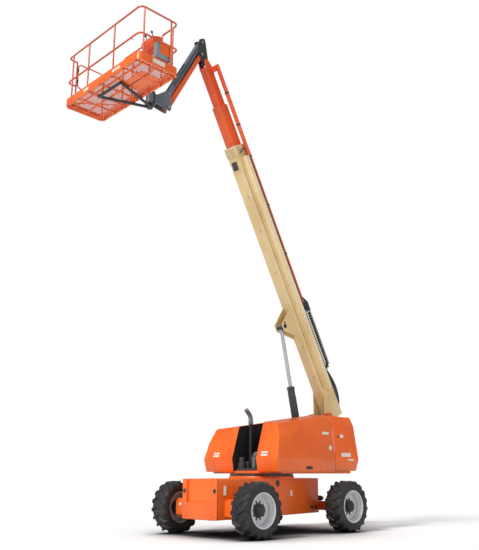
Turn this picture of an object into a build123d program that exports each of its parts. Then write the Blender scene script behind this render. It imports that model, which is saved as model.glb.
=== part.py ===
from build123d import *
import os
from math import sin, cos, tan, radians, degrees, atan2, hypot, pi

# Telescopic boom lift in the pose of the photo, millimetres and degrees.
# Origin on the ground under the swing axis, +X towards the basket, +Y to the machine's left, +Z up.

# chassis and wheels
WHEELBASE = 2490
TRACK = 2180
TYRE_R = 480
TYRE_W = 380
LUG = 26
RIM_R = 300
CH_FRONT = WHEELBASE / 2 + 185
CH_REAR = -WHEELBASE / 2 + 195
CH_NECK = CH_REAR + 550
CH_HALF = 800
CH_HALF_REAR = 440
CH_BOTTOM = 300
CH_TOP = 920
CH_RING = 1040
WALL = 14
KINGPIN_Y = 800
KINGPIN_R = 26
AXLE_Z = TYRE_R

# turntable
RING_R = 620
DECK_Z = 1095
DECK_T = 50
DECK_FRONT = 580
DECK_REAR = -1740
DECK_HALF = 940
BOOM_Y = 100
BAY_LOW = -185
BAY_HIGH = 465
HOOD_SEAM = -1085
HOOD_T = 6
SHELL_GAP = 8
HINGE_R = 10

# boom
PIVOT = (-1800, 2255)
BETA = 61.5
AXIS_UP = 300
PIVOT_R = 38
BASE = dict(w=295, d=350, t=9, c=34, start=-260, end=6110)
MID = dict(w=240, d=270, t=8, c=26, start=420, end=7010)
FLY = dict(w=196, d=206, t=8, c=20, start=760, end=7860)
STROKE = 4200
LUG_PIN = (2210, -551)
LIFT_FOOT = (-1130, 1215)
NOSE_PIN_U = 7955

# jib and platform
JIB_TOP = (1860, 9800)
JIB_BAY = 280
JIB_L = 1752
JIB_DEG = 61.8
ROTATOR_X = 3086
FLOOR_Z = 7895
DECK_L = 2400
DECK_W = 880
DECK_X = 3790
RAIL_H = 1100
RAIL_R = 19

NODES = {}


def add(name, *shapes):
    NODES.setdefault(name, []).extend(shapes)


def box(x0, x1, y0, y1, z0, z1):
    return Solid.make_box(x1 - x0, y1 - y0, z1 - z0).moved(Location((x0, y0, z0)))


def prism(points, direction):
    # flat polygon of 3-D points pushed along a vector
    return Solid.extrude(Face(Wire.make_polygon([Vector(*p) for p in points], close=True)), Vector(*direction))


def side_plate(points, y0, y1):
    return prism([(x, y0, z) for x, z in points], (0, y1 - y0, 0))


def rod(p, q, r):
    p, q = Vector(*p), Vector(*q)
    return Solid.make_cylinder(r, (q - p).length, Plane(origin=p, z_dir=q - p))


def cross_pin(x, z, y0, y1, r):
    return rod((x, y0, z), (x, y1, z), r)


def eye(x, z, y0, y1, r):
    return cross_pin(x, z, y0, y1, r)


def pipe(points, r, bend=60):
    # round rail through points with rounded corners
    path = Wire.make_polygon([Vector(*p) for p in points], close=False)
    corners = [v for v in path.vertices()][1:-1]
    if corners and bend:
        path = path.fillet_2d(bend, corners) if planar(points) else path
    first = Vector(*points[1]) - Vector(*points[0])
    ring = Wire.make_circle(r, Plane(origin=Vector(*points[0]), z_dir=first))
    return Solid.sweep(Face(ring), path, transition=Transition.ROUND)


def planar(points):
    return any(len({round(p[i], 3) for p in points}) == 1 for i in range(3))


def section(x, w, d, c):
    # eight-sided tube section in the plane across the boom
    a, b = w / 2, d / 2
    return [(x, a - c, b), (x, -a + c, b), (x, -a, b - c), (x, -a, -b + c),
            (x, -a + c, -b), (x, a - c, -b), (x, a, -b + c), (x, a, b - c)]


def bar(x0, x1, w, d, c):
    return prism(section(x0, w, d, c), (x1 - x0, 0, 0))


def tube(x0, x1, w, d, c, t):
    return bar(x0, x1, w, d, c) - bar(x0 - 1, x1 + 1, w - 2 * t, d - 2 * t, c * 0.8)


def to_boom(shape, deg=BETA):
    # lowered boom frame (along X, axis at z 0, y 0) to the machine
    placed = shape.moved(Location((PIVOT[0], BOOM_Y, PIVOT[1] + AXIS_UP)))
    return placed.rotate(Axis((PIVOT[0], 0, PIVOT[1]), (0, 1, 0)), -deg)


def on_boom(u, w, deg=BETA):
    b = radians(deg)
    w += AXIS_UP
    return (PIVOT[0] + u * cos(b) - w * sin(b), PIVOT[1] + u * sin(b) + w * cos(b))


# chassis
def chassis():
    def hull(i):
        body = box(CH_NECK, CH_FRONT - i, -CH_HALF + i, CH_HALF - i, CH_BOTTOM + i, CH_TOP - i)
        neck = box(CH_REAR + i, CH_NECK + 1, -CH_HALF_REAR + i, CH_HALF_REAR - i, CH_BOTTOM + 60 + i, CH_TOP + 60 - i)
        return body + neck
    shell = hull(0) - (hull(WALL) + box(CH_NECK - 40, CH_NECK + 60, -CH_HALF_REAR + WALL, CH_HALF_REAR - WALL,
                                        CH_BOTTOM + 60 + WALL, CH_TOP - WALL))
    pedestal = Solid.make_cylinder(RING_R + 20, CH_RING - CH_TOP + 40, Plane(origin=(0, 0, CH_TOP - WALL)))
    pedestal -= Solid.make_cylinder(RING_R - 40, 400, Plane(origin=(0, 0, CH_TOP - 100)))
    shell = shell + (pedestal & box(-2000, 2000, -CH_HALF, CH_HALF, 0, CH_RING))
    for s in (-1, 1):
        shell -= rod((390, s * (CH_HALF - 60), 800), (390, s * (CH_HALF + 60), 800), 55)
        shell -= rod((CH_FRONT - 60, s * 700, 780), (CH_FRONT + 60, s * 700, 780), 34)
    add("chassis_frame", shell)
    hub = WHEELBASE / 2
    drive = []
    for s in (-1, 1):
        drive.append(box(hub - 130, hub + 130, min(s * CH_HALF, s * 845), max(s * CH_HALF, s * 845), 340, 600))
        drive.append(rod((hub, s * 845, AXLE_Z), (hub, s * (TRACK / 2 - 65), AXLE_Z), 175))
    add("drive_axle", *drive)
    x = -WHEELBASE / 2
    beam = box(x - 75, x + 75, -700, 700, AXLE_Z - 85, AXLE_Z + 85)
    carrier = side_plate([(CH_REAR, 420), (x + 75, 400), (x + 75, 640), (CH_REAR, 800)], -300, 300)
    yokes = []
    for s in (-1, 1):
        for low, high in ((-123, -85), (85, 123)):
            a, b = sorted((s * 640, s * (KINGPIN_Y + 55)))
            plate = box(x - 70, x + 70, a, b, AXLE_Z + low, AXLE_Z + high)
            yokes.append(plate)
    pins = [rod((x, s * KINGPIN_Y, AXLE_Z - 145), (x, s * KINGPIN_Y, AXLE_Z + 145), KINGPIN_R) for s in (-1, 1)]
    steer = beam + yokes + pins + carrier
    add("steer_axle", steer)


def wheel(cx, cy, kind):
    s = 1 if cy > 0 else -1
    name = ("drive" if cx > 0 else "steer") + ("_left" if s > 0 else "_right")
    face = TRACK / 2 - (65 if cx > 0 else 120)
    half = TYRE_W / 2
    body_r = TYRE_R - LUG
    bead = RIM_R - 12
    profile = [(bead, -half + 30), (bead + 60, -half), (body_r - 40, -half + 8), (body_r, -half + 70),
               (body_r, half - 70), (body_r - 40, half - 8), (bead + 60, half), (bead, half - 30)]
    loop = Wire.make_polygon([Vector(r, 0, y) for r, y in profile], close=True)
    tyre = Solid.revolve(Face(loop), 360, Axis.Z)
    lugs = []
    count = 20
    for i in range(count):
        for side in (-1, 1):
            turn = (i + (0.25 if side > 0 else 0.75)) * 360 / count
            lug = Solid.make_box(LUG + 30, 48, half - 16)
            lug = lug.moved(Location((TYRE_R - LUG - 30, -24, 0)))
            lug = lug.rotate(Axis((0, 0, 0), (1, 0, 0)), 26 * side)
            lug = lug.moved(Location((0, 0, -4 if side > 0 else 4)))
            if side < 0:
                lug = lug.mirror(Plane.XY)
            lugs.append(lug.rotate(Axis.Z, turn))
    limit = Solid.make_cylinder(TYRE_R, TYRE_W, Plane(origin=(0, 0, -half)))
    limit -= Solid.make_cylinder(body_r, TYRE_W + 2, Plane(origin=(0, 0, -half - 1)))
    if kind == "lugs":
        tyre = tyre + [l & limit for l in lugs]
    else:
        tyre = tyre + (Solid.make_cylinder(TYRE_R, TYRE_W - 60, Plane(origin=(0, 0, -half + 30)))
                       - Solid.make_cylinder(body_r - 5, TYRE_W, Plane(origin=(0, 0, -half))))
    f = (face - abs(cy))
    rim = [(bead, -half + 30), (bead, half - 30), (bead - 12, half - 30), (bead - 12, f + 40), (110, f + 14),
           (110, f), (bead - 12, f), (bead - 12, -half + 30)]
    disc = Solid.revolve(Face(Wire.make_polygon([Vector(r, 0, y) for r, y in rim], close=True)), 360, Axis.Z)
    cap = Solid.make_cylinder(112, 62, Plane(origin=(0, 0, f)))
    turn = Location((cx, cy, AXLE_Z), (-90 * s, 0, 0))
    add("tyre_" + name, tyre.moved(turn))
    add("rim_" + name, (disc + cap).moved(turn))


def knuckles():
    x = -WHEELBASE / 2
    for s, side in ((1, "left"), (-1, "right")):
        a, b = sorted((s * (KINGPIN_Y - 50), s * (KINGPIN_Y + 60)))
        block = box(x - 55, x + 55, a, b, AXLE_Z - 80, AXLE_Z + 80)
        block -= rod((x, s * KINGPIN_Y, AXLE_Z - 100), (x, s * KINGPIN_Y, AXLE_Z + 100), KINGPIN_R + 0.05)
        spindle = rod((x, s * (KINGPIN_Y + 60), AXLE_Z), (x, s * (TRACK / 2 - 120.05), AXLE_Z), 80)
        add("knuckle_" + side, block + spindle)


# turntable
def pod(side, x0, x1, inset):
    # one side's steel cover: box cut by slanted planes; inset gives the inner skin
    i = inset
    lo, hi = (BAY_HIGH - i, 1100) if side > 0 else (-1100, BAY_LOW + i)
    body = box(x0, x1, lo, hi, 900, 2600)

    def trim(shape, p, n):
        size = 9000
        n = Vector(*n).normalized()
        p = Vector(*p) - n * i
        big = Solid.make_box(size, size, size).moved(Location((-size / 2, -size / 2, 0)))
        return shape - big.moved(Location(Plane(origin=p, z_dir=n)))
    s = side
    body = trim(body, (0, s * 1005, 1350), (0, s * cos(radians(8)), -sin(radians(8))))
    body = trim(body, (0, s * 1005, 1350), (0, s * cos(radians(7)), sin(radians(7))))
    slope = radians(8.2)
    fall = 29 if s > 0 else 22
    lean = radians(fall)
    crease = (490, s * 955, 1760)
    body = trim(body, crease, (sin(slope), s * sin(lean), cos(lean) * cos(slope)))
    body = trim(body, (620, 0, 1350), (cos(radians(17)), 0, sin(radians(17))))
    body = trim(body, (620, 0, 1350), (cos(radians(10)), 0, -sin(radians(10))))
    body = trim(body, (490, 0, 1760), (cos(radians(40)), 0, sin(radians(40))))
    body = trim(body, (-1787, 0, 1350), (-cos(radians(8)), 0, -sin(radians(8))))
    body = trim(body, (-1787, 0, 1350), (-cos(radians(5)), 0, sin(radians(5))))
    return body


def hinge_line(side):
    # along the top inner edge of a hood, from rear to front
    y = BAY_HIGH if side > 0 else BAY_LOW
    lean = radians(29 if side > 0 else 22)
    slope = radians(8.2)

    def edge(x):
        rise = (sin(slope) * (490 - x) + sin(lean) * (955 - abs(y))) / (cos(lean) * cos(slope))
        return Vector(x, y, 1760 + rise - HINGE_R - 4)
    return edge(HOOD_SEAM + 40), edge(200)


def covers():
    bottom = DECK_Z + DECK_T + SHELL_GAP
    floor = box(-3000, 3000, -3000, 3000, bottom, 4000)
    for s, side in ((1, "left"), (-1, "right")):
        a, b = hinge_line(s)
        hood = pod(s, HOOD_SEAM + SHELL_GAP, 1000, 0) - pod(s, HOOD_SEAM - 100, 1000, HOOD_T)
        hood = (hood & floor) - rod(b + (b - a) * 0.2, a - (b - a) * 0.2, HINGE_R + 0.3)
        add("hood_" + side, hood)
        add("turntable_deck", rod(a, b, HINGE_R))
        y = BAY_HIGH if s > 0 else BAY_LOW
        wall = side_plate([(a.X, DECK_Z + DECK_T), (b.X, DECK_Z + DECK_T), (b.X, b.Z), (a.X, a.Z)],
                          y - (HOOD_T if s > 0 else 0), y + (0 if s > 0 else HOOD_T))
        add("turntable_deck", wall)
        rear = pod(s, -2000, HOOD_SEAM, 0) - pod(s, -2000, HOOD_SEAM - HOOD_T, HOOD_T)
        rear = rear & box(-3000, 3000, -3000, 3000, DECK_Z + DECK_T, 4000)
        add("rear_covers", rear)


def turntable():
    add("slew_ring", Solid.make_cylinder(RING_R, DECK_Z - CH_RING, Plane(origin=(0, 0, CH_RING)))
        - Solid.make_cylinder(RING_R - 90, 200, Plane(origin=(0, 0, CH_RING - 50))))
    outline = [(DECK_FRONT, -DECK_HALF), (DECK_FRONT, DECK_HALF), (DECK_REAR, DECK_HALF), (DECK_REAR, -DECK_HALF)]
    deck = prism([(x, y, DECK_Z) for x, y in outline], (0, 0, DECK_T))
    deck -= Solid.make_cylinder(260, 200, Plane(origin=(0, 0, DECK_Z - 50)))
    top = DECK_Z + DECK_T
    px, pz = PIVOT
    tower = [(-700, top), (-1560, pz + 60), (px + 60, pz + 95), (px - 60, pz + 95), (px - 110, pz + 30), (DECK_REAR, top)]
    for y0, y1 in ((BOOM_Y - 200, BOOM_Y - 175), (BOOM_Y + 175, BOOM_Y + 200)):
        cheek = side_plate(tower, y0, y1) - cross_pin(px, pz, y0 - 10, y1 + 10, PIVOT_R)
        deck = deck + cheek
    fx, fz = LIFT_FOOT
    for y0, y1 in ((BOOM_Y - 105, BOOM_Y - 80), (BOOM_Y + 80, BOOM_Y + 105)):
        ear = side_plate([(fx - 110, top), (fx + 110, top), (fx + 60, fz + 60), (fx - 60, fz + 60)], y0, y1)
        deck = deck + ear
    deck = deck + cross_pin(fx, fz, BOOM_Y - 110, BOOM_Y + 110, 30)
    deck = deck + cross_pin(px, pz, BOOM_Y - 225, BOOM_Y + 225, PIVOT_R)
    add("turntable_deck", deck)
    weight = [(-1690, top), (-1130, top), (-1130, 1500), (-1690, 1500)]
    add("counterweight", side_plate(weight, BAY_HIGH + 20, 930), side_plate(weight, -930, BAY_LOW - 20))
    add("engine_block", box(-900, 250, -850, BAY_LOW - 60, top, 1700))
    add("tank_block", box(-900, 300, BAY_HIGH + 60, 850, top, 1560))
    add("exhaust_pipe", rod((150, 330, top), (150, 330, 1900), 47))


# boom
def boom():
    b, m, f = BASE, MID, FLY

    def pads(outer, inner, x0, x1, far):
        # slide pads that fill the gap between two tubes; far ones sit on the inner tube
        lo = (0.3, 0) if far else (0, 0.3)
        out = bar(x0, x1, outer["w"] - 2 * outer["t"] - 2 * lo[0], outer["d"] - 2 * outer["t"] - 2 * lo[0], outer["c"] * 0.8)
        return out - bar(x0 - 1, x1 + 1, inner["w"] + 2 * lo[1], inner["d"] + 2 * lo[1], inner["c"])
    base = tube(b["start"] + 300, b["end"], b["w"], b["d"], b["c"], b["t"]) + pads(b, m, b["end"] - 150, b["end"], False)
    base = base + (tube(b["end"] - 190, b["end"] + 2, b["w"] + 26, b["d"] + 26, b["c"], 13))
    foot = [(-80, -AXIS_UP - 70), (80, -AXIS_UP - 70), (520, -b["d"] / 2 + 40), (520, b["d"] / 2), (-120, b["d"] / 2),
            (-120, -AXIS_UP + 60)]
    for y0, y1 in ((-b["w"] / 2 - 18, -b["w"] / 2), (b["w"] / 2, b["w"] / 2 + 18)):
        cheek = side_plate(foot, y0, y1) - cross_pin(0, -AXIS_UP, y0 - 5, y1 + 5, PIVOT_R + 0.05)
        base = base + cheek
    base = base + box(-120, -108, -b["w"] / 2, b["w"] / 2, -AXIS_UP + 60, b["d"] / 2)
    lu, lw = LUG_PIN
    lug = [(lu - 420, -b["d"] / 2), (lu + 300, -b["d"] / 2), (lu + 70, lw - 60), (lu - 70, lw - 60)]
    for y0, y1 in ((-115, -92), (92, 115)):
        base = base + side_plate(lug, y0, y1)
    for y0, y1 in ((-130, -92), (92, 130)):
        base = base + cross_pin(lu, lw, y0, y1, 30)
    add("boom_base", to_boom(base))
    mid = tube(m["start"], m["end"], m["w"], m["d"], m["c"], m["t"])
    mid = mid + pads(b, m, m["start"], m["start"] + 150, True) + pads(m, f, m["end"] - 130, m["end"], False)
    add("boom_mid", to_boom(mid))
    fly = tube(f["start"], f["end"], f["w"], f["d"], f["c"], f["t"]) + pads(m, f, f["start"], f["start"] + 130, True)
    fly = fly + box(f["end"] - 12, f["end"], -f["w"] / 2 + 8, f["w"] / 2 - 8, -f["d"] / 2 + 8, f["d"] / 2 - 8)
    for y0, y1 in ((-f["w"] / 2, -f["w"] / 2 + 12), (f["w"] / 2 - 12, f["w"] / 2)):
        ear = side_plate([(f["end"] - 20, -95), (NOSE_PIN_U + 30, -60), (NOSE_PIN_U + 70, 0), (NOSE_PIN_U + 30, 60),
                          (f["end"] - 20, 95)], y0, y1)
        fly = fly + ear
    fly = fly + cross_pin(NOSE_PIN_U, 0, -f["w"] / 2 - 14, f["w"] / 2 + 14, 28)
    add("boom_fly", to_boom(fly))
    # hose carrier on the near side and the push tube that draws it out
    side = b["w"] / 2 + 0
    tray = box(540, b["end"] - 260, side, side + 110, -40, 0)
    tray = tray + box(540, b["end"] - 260, side, side + 8, -40, 120)
    add("hose_tray", to_boom(tray))
    push = rod((1900, side + 60, 75), (NOSE_PIN_U - 120, side + 60, 75), 42)
    push = push + box(NOSE_PIN_U - 170, NOSE_PIN_U - 120, f["w"] / 2, side + 90, 40, 110)
    add("push_tube", to_boom(push))


def lift_cylinder():
    fx, fz = LIFT_FOOT
    rx, rz = on_boom(*LUG_PIN)
    length = hypot(rx - fx, rz - fz)
    tilt = degrees(atan2(rz - fz, rx - fx))

    def put(shape):
        return shape.moved(Location((fx, BOOM_Y, fz))).rotate(Axis((fx, 0, fz), (0, 1, 0)), -tilt)
    barrel_end = 1655
    barrel = rod((75, 0, 0), (barrel_end, 0, 0), 76) - rod((115, 0, 0), (barrel_end + 5, 0, 0), 60)
    barrel = barrel + (rod((barrel_end - 40, 0, 0), (barrel_end, 0, 0), 84) - rod((0, 0, 0), (barrel_end + 5, 0, 0), 37.05))
    barrel = barrel + box(-10, 90, -60, 60, -58, 58) + cross_pin(0, 0, -60, 60, 58)
    barrel -= cross_pin(0, 0, -80, 80, 30.05)
    add("lift_barrel", put(barrel))
    inside = 1636
    piston = rod((length - inside, 0, 0), (length - 20, 0, 0), 37) + rod((length - inside, 0, 0), (length - inside + 40, 0, 0), 59.95)
    head = box(length - 95, length + 10, -55, 55, -55, 55) + cross_pin(length, 0, -55, 55, 58)
    piston = piston + head + cross_pin(length, 0, -91.7, 91.7, 30)
    add("lift_rod", put(piston))


# jib and platform
def jib():
    nx, nz = on_boom(NOSE_PIN_U, 0)
    tx, tz = JIB_TOP
    bx, bz = tx, tz - JIB_BAY
    nose = [(nx - 62, nz - 30), (nx - 20, nz - 64), (nx + 40, nz - 50), (bx + 70, bz - 50), (bx + 75, tz + 40),
            (tx + 30, tz + 75), (tx - 60, tz + 120), (tx - 95, tz + 60)]
    plates = []
    for y0, y1 in ((BOOM_Y - 80, BOOM_Y - 66), (BOOM_Y + 66, BOOM_Y + 80)):
        plates.append(side_plate(nose, y0, y1))
    hub = cross_pin(nx, nz, BOOM_Y - 80, BOOM_Y + 80, 46)
    web = box(tx - 80, tx - 66, BOOM_Y - 68, BOOM_Y + 68, bz + 20, tz + 70)
    bracket = (plates[0] + plates[1] + hub + web) - cross_pin(nx, nz, BOOM_Y - 90, BOOM_Y + 90, 28.05)
    bracket = bracket + cross_pin(bx, bz, BOOM_Y - 92, BOOM_Y + 92, 20) + cross_pin(tx, tz, BOOM_Y - 92, BOOM_Y + 92, 20)
    add("nose_bracket", bracket)

    def put(shape, x, z):
        return shape.moved(Location((x, BOOM_Y, z))).rotate(Axis((x, 0, z), (0, 1, 0)), JIB_DEG)

    def holes(shape):
        return shape - cross_pin(0, 0, -80, 80, 20.05) - cross_pin(JIB_L, 0, -80, 80, 20.05)
    upper = []
    for y0, y1 in ((-60, -48), (48, 60)):
        upper.append(side_plate([(-45, -30), (0, -50), (JIB_L, -50), (JIB_L + 45, -30), (JIB_L + 45, 30), (JIB_L, 50),
                                 (0, 50), (-45, 30)], y0, y1))
    upper = upper[0] + upper[1] + box(90, JIB_L * 0.44, -50, 50, 42, 50)
    add("jib_upper", put(holes(upper), tx, tz))
    lower = []
    for y0, y1 in ((-60, -48), (48, 60)):
        lower.append(side_plate([(-40, -30), (0, -45), (JIB_L, -45), (JIB_L + 40, -30), (JIB_L + 40, 30), (JIB_L, 45),
                                 (0, 45), (-40, 30)], y0, y1))
    lower = lower[0] + lower[1] + box(60, JIB_L - 60, -50, 50, -45, -37)
    add("jib_lower", put(holes(lower), bx, bz))
    a = radians(JIB_DEG)
    ux, uz = tx + JIB_L * cos(a), tz - JIB_L * sin(a)
    lx, lz = ux, uz - JIB_BAY
    # diagonal cylinder from the nose's lower pin to the foot's upper pin
    span = hypot(ux - bx, uz - bz)
    tilt = degrees(atan2(uz - bz, ux - bx))

    def diag(shape):
        return shape.moved(Location((bx, BOOM_Y, bz))).rotate(Axis((bx, 0, bz), (0, 1, 0)), -tilt)
    barrel = rod((30, 0, 0), (span - 330, 0, 0), 28) - rod((90, 0, 0), (span - 300, 0, 0), 20)
    barrel = barrel + (rod((span - 350, 0, 0), (span - 320, 0, 0), 30) - rod((0, 0, 0), (span, 0, 0), 14.05))
    barrel = (barrel + cross_pin(0, 0, -40, 40, 32)) - cross_pin(0, 0, -80, 80, 20.05)
    add("jib_barrel", diag(barrel))
    r = rod((span - 1100, 0, 0), (span - 25, 0, 0), 14) + rod((span - 1100, 0, 0), (span - 1060, 0, 0), 19.95)
    r = r + cross_pin(span, 0, -40, 40, 32) + cross_pin(span, 0, -47.7, 47.7, 20)
    add("jib_rod", diag(r))
    low, high = FLOOR_Z + 45, FLOOR_Z + 245
    foot = [(ux - 60, uz + 30), (ux - 10, uz + 62), (ux + 90, uz + 40), (ROTATOR_X - 110, high), (ROTATOR_X - 60, low + 10),
            (lx + 60, lz - 60), (lx - 30, lz - 70), (lx - 62, lz - 30)]
    plates = [side_plate(foot, y0, y1) for y0, y1 in ((BOOM_Y - 80, BOOM_Y - 66), (BOOM_Y + 66, BOOM_Y + 80))]
    bracket = plates[0] + plates[1]
    bracket = bracket + cross_pin(lx, lz, BOOM_Y - 92, BOOM_Y + 92, 20)
    for y0, y1 in ((BOOM_Y - 92, BOOM_Y - 49), (BOOM_Y + 49, BOOM_Y + 92)):
        bracket = bracket + cross_pin(ux, uz, y0, y1, 20)
    bracket = bracket + box(ROTATOR_X - 110, ROTATOR_X - 60, BOOM_Y - 82, BOOM_Y + 82, low, high)
    bracket = bracket + (rod((ROTATOR_X, BOOM_Y, low), (ROTATOR_X, BOOM_Y, high), 80)
                         & box(ROTATOR_X - 100, ROTATOR_X + 200, -500, 700, low, high))
    bracket = bracket - rod((ROTATOR_X, BOOM_Y, low - 10), (ROTATOR_X, BOOM_Y, high + 10), 32.05)
    add("jib_foot", bracket)


def platform():
    x0, x1 = DECK_X - DECK_W / 2, DECK_X + DECK_W / 2
    y0, y1 = BOOM_Y - DECK_L / 2, BOOM_Y + DECK_L / 2
    z = FLOOR_Z
    low, high = z + 45, z + 245
    post = rod((ROTATOR_X, BOOM_Y, low - 40), (ROTATOR_X, BOOM_Y, high + 40), 32)
    clamp = rod((ROTATOR_X, BOOM_Y, low - 40), (ROTATOR_X, BOOM_Y, low - 2), 95)
    clamp = clamp + rod((ROTATOR_X, BOOM_Y, high + 2), (ROTATOR_X, BOOM_Y, high + 40), 95)
    arms = []
    for s in (-1, 1):
        arms.append(pipe([(ROTATOR_X, BOOM_Y + s * 20, z - 28), (x1 - 230, BOOM_Y + s * 350, z - 28)], 28, 0))
    arms.append(pipe([(x1 - 230, BOOM_Y - 350, z - 28), (x1 - 230, BOOM_Y + 350, z - 28)], 28, 0))
    drop = rod((ROTATOR_X, BOOM_Y, z - 60), (ROTATOR_X, BOOM_Y, low - 38), 60)
    add("platform_support", post + clamp + arms + drop)
    r = 90
    ring = Solid.make_box(DECK_W, DECK_L, 150).moved(Location((x0, y0, z))).fillet(r, []) if False else None
    outer = extrude(RectangleRounded(DECK_W, DECK_L, r), 150)
    inner = extrude(RectangleRounded(DECK_W - 12, DECK_L - 12, r - 6), 150)
    curb = (outer - inner).moved(Location((DECK_X, BOOM_Y, z)))
    plate = (extrude(RectangleRounded(DECK_W - 12, DECK_L - 12, r - 6), 6)).moved(Location((DECK_X, BOOM_Y, z + 20)))
    ribs = []
    for i in range(7):
        y = y0 + 120 + i * (DECK_L - 240) / 6
        ribs.append(box(x0 + 6, x1 - 6, y - 18, y + 18, z - 0, z + 20))
    add("platform_deck", curb + plate + ribs)
    rails = []
    top, mid = z + RAIL_H + 60, z + 600
    q = 25
    ax, bx = x0 + q, x1 - q
    ay, by = y0 + q, y1 - q
    for level in (top, mid):
        rails.append(pipe([(ax, y0 + 720, level), (ax, by, level), (bx, by, level), (bx, ay, level), (bx - 180, ay, level)], RAIL_R, 110))
    for px, py in ((bx, ay + 120), (bx, BOOM_Y - 350), (bx, BOOM_Y + 350), (bx, by - 120), (bx - 180, ay), (ax, y0 + 720), (ax, BOOM_Y + 250),
                   (ax, by - 120), (bx - 180, by), (ax + 180, by)):
        rails.append(rod((px, py, z + 140), (px, py, top), RAIL_R))
    cage = rails[0]
    for other in rails[1:]:
        cage = cage + other
    add("platform_rails", cage)
    gx = bx - 180 - RAIL_R - 16 - 0.3
    gate = pipe([(gx, ay, mid + 50), (gx, ay, top), (gx - 560, ay, top), (gx - 560, ay, mid), (gx, ay, mid), (gx, ay, mid + 50)], 16, 0)
    add("gate", gate)
    add("console", box(ax - 110, ax + 90, by - 900, by - 500, top + RAIL_R, top + 230))
    add("tool_box", box(ax + 180, ax + 640, by + RAIL_R, by + 130, mid + 20, mid + 380))


chassis()
for cx in (WHEELBASE / 2, -WHEELBASE / 2):
    for cy in (TRACK / 2, -TRACK / 2):
        wheel(cx, cy, "plain")
knuckles()
turntable()
covers()
boom()
lift_cylinder()
jib()
platform()

os.makedirs("parts", exist_ok=True)
for name, shapes in NODES.items():
    solids = []
    for shape in shapes:
        solids += list(shape.solids())
    part = solids[0] if len(solids) == 1 else Compound(children=solids)
    part.label = name
    export_step(part, f"parts/{name}.step")
    box_ = part.bounding_box()
    print(name, len(solids), [round(v) for v in (*box_.min, *box_.max)])
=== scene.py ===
import math

import bmesh
import bpy
import numpy as np
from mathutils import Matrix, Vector


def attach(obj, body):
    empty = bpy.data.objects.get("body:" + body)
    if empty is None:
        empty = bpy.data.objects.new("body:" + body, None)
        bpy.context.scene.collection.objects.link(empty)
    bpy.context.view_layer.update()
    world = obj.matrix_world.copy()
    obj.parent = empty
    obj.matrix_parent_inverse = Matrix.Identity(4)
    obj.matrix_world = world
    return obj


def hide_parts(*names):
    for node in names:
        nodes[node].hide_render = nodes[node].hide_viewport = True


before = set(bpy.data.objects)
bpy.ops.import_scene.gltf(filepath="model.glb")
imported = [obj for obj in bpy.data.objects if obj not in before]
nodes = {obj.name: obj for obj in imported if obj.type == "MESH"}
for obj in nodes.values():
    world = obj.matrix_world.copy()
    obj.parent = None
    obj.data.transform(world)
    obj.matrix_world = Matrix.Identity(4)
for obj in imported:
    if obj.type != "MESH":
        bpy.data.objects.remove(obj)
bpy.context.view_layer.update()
print("frame loaded")

mm = 0.001  # shapes are written in millimetres, lights, camera and shaders in metres


def newGroup(name, inputs, outputs):
    group = bpy.data.node_groups.new(name, "ShaderNodeTree")
    for label, value in inputs:
        socket = group.interface.new_socket(label, in_out="INPUT", socket_type="NodeSocketFloat")
        socket.default_value = value
    for label in outputs:
        group.interface.new_socket(label, in_out="OUTPUT", socket_type="NodeSocketFloat")
    return group, group.nodes.new("NodeGroupInput"), group.nodes.new("NodeGroupOutput")


def mathNode(tree, operation, a, b=0.0, clamp=False):
    node = tree.nodes.new("ShaderNodeMath")
    node.operation = operation
    node.use_clamp = clamp
    for socket, value in zip(node.inputs, (a, b)):
        if isinstance(value, (int, float)):
            socket.default_value = value
        else:
            tree.links.new(value, socket)
    return node.outputs[0]


def ramped(tree, value, low, high, first=0.0, last=1.0):
    node = tree.nodes.new("ShaderNodeMapRange")
    node.interpolation_type = "SMOOTHSTEP"
    tree.links.new(value, node.inputs[0])
    for socket, number in zip(node.inputs[1:5], (low, high, first, last)):
        socket.default_value = number
    return node.outputs[0]


def noiseOn(tree, vector, scale, detail=3.0):
    node = tree.nodes.new("ShaderNodeTexNoise")
    tree.links.new(vector, node.inputs["Vector"])
    node.inputs["Scale"].default_value = scale
    node.inputs["Detail"].default_value = detail
    return node.outputs[0]


def objectPlace(tree, stretch=(1, 1, 1)):
    place = tree.nodes.new("ShaderNodeTexCoord").outputs["Object"]
    mapping = tree.nodes.new("ShaderNodeMapping")
    mapping.inputs["Scale"].default_value = stretch
    tree.links.new(place, mapping.inputs["Vector"])
    return mapping.outputs[0]


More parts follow.
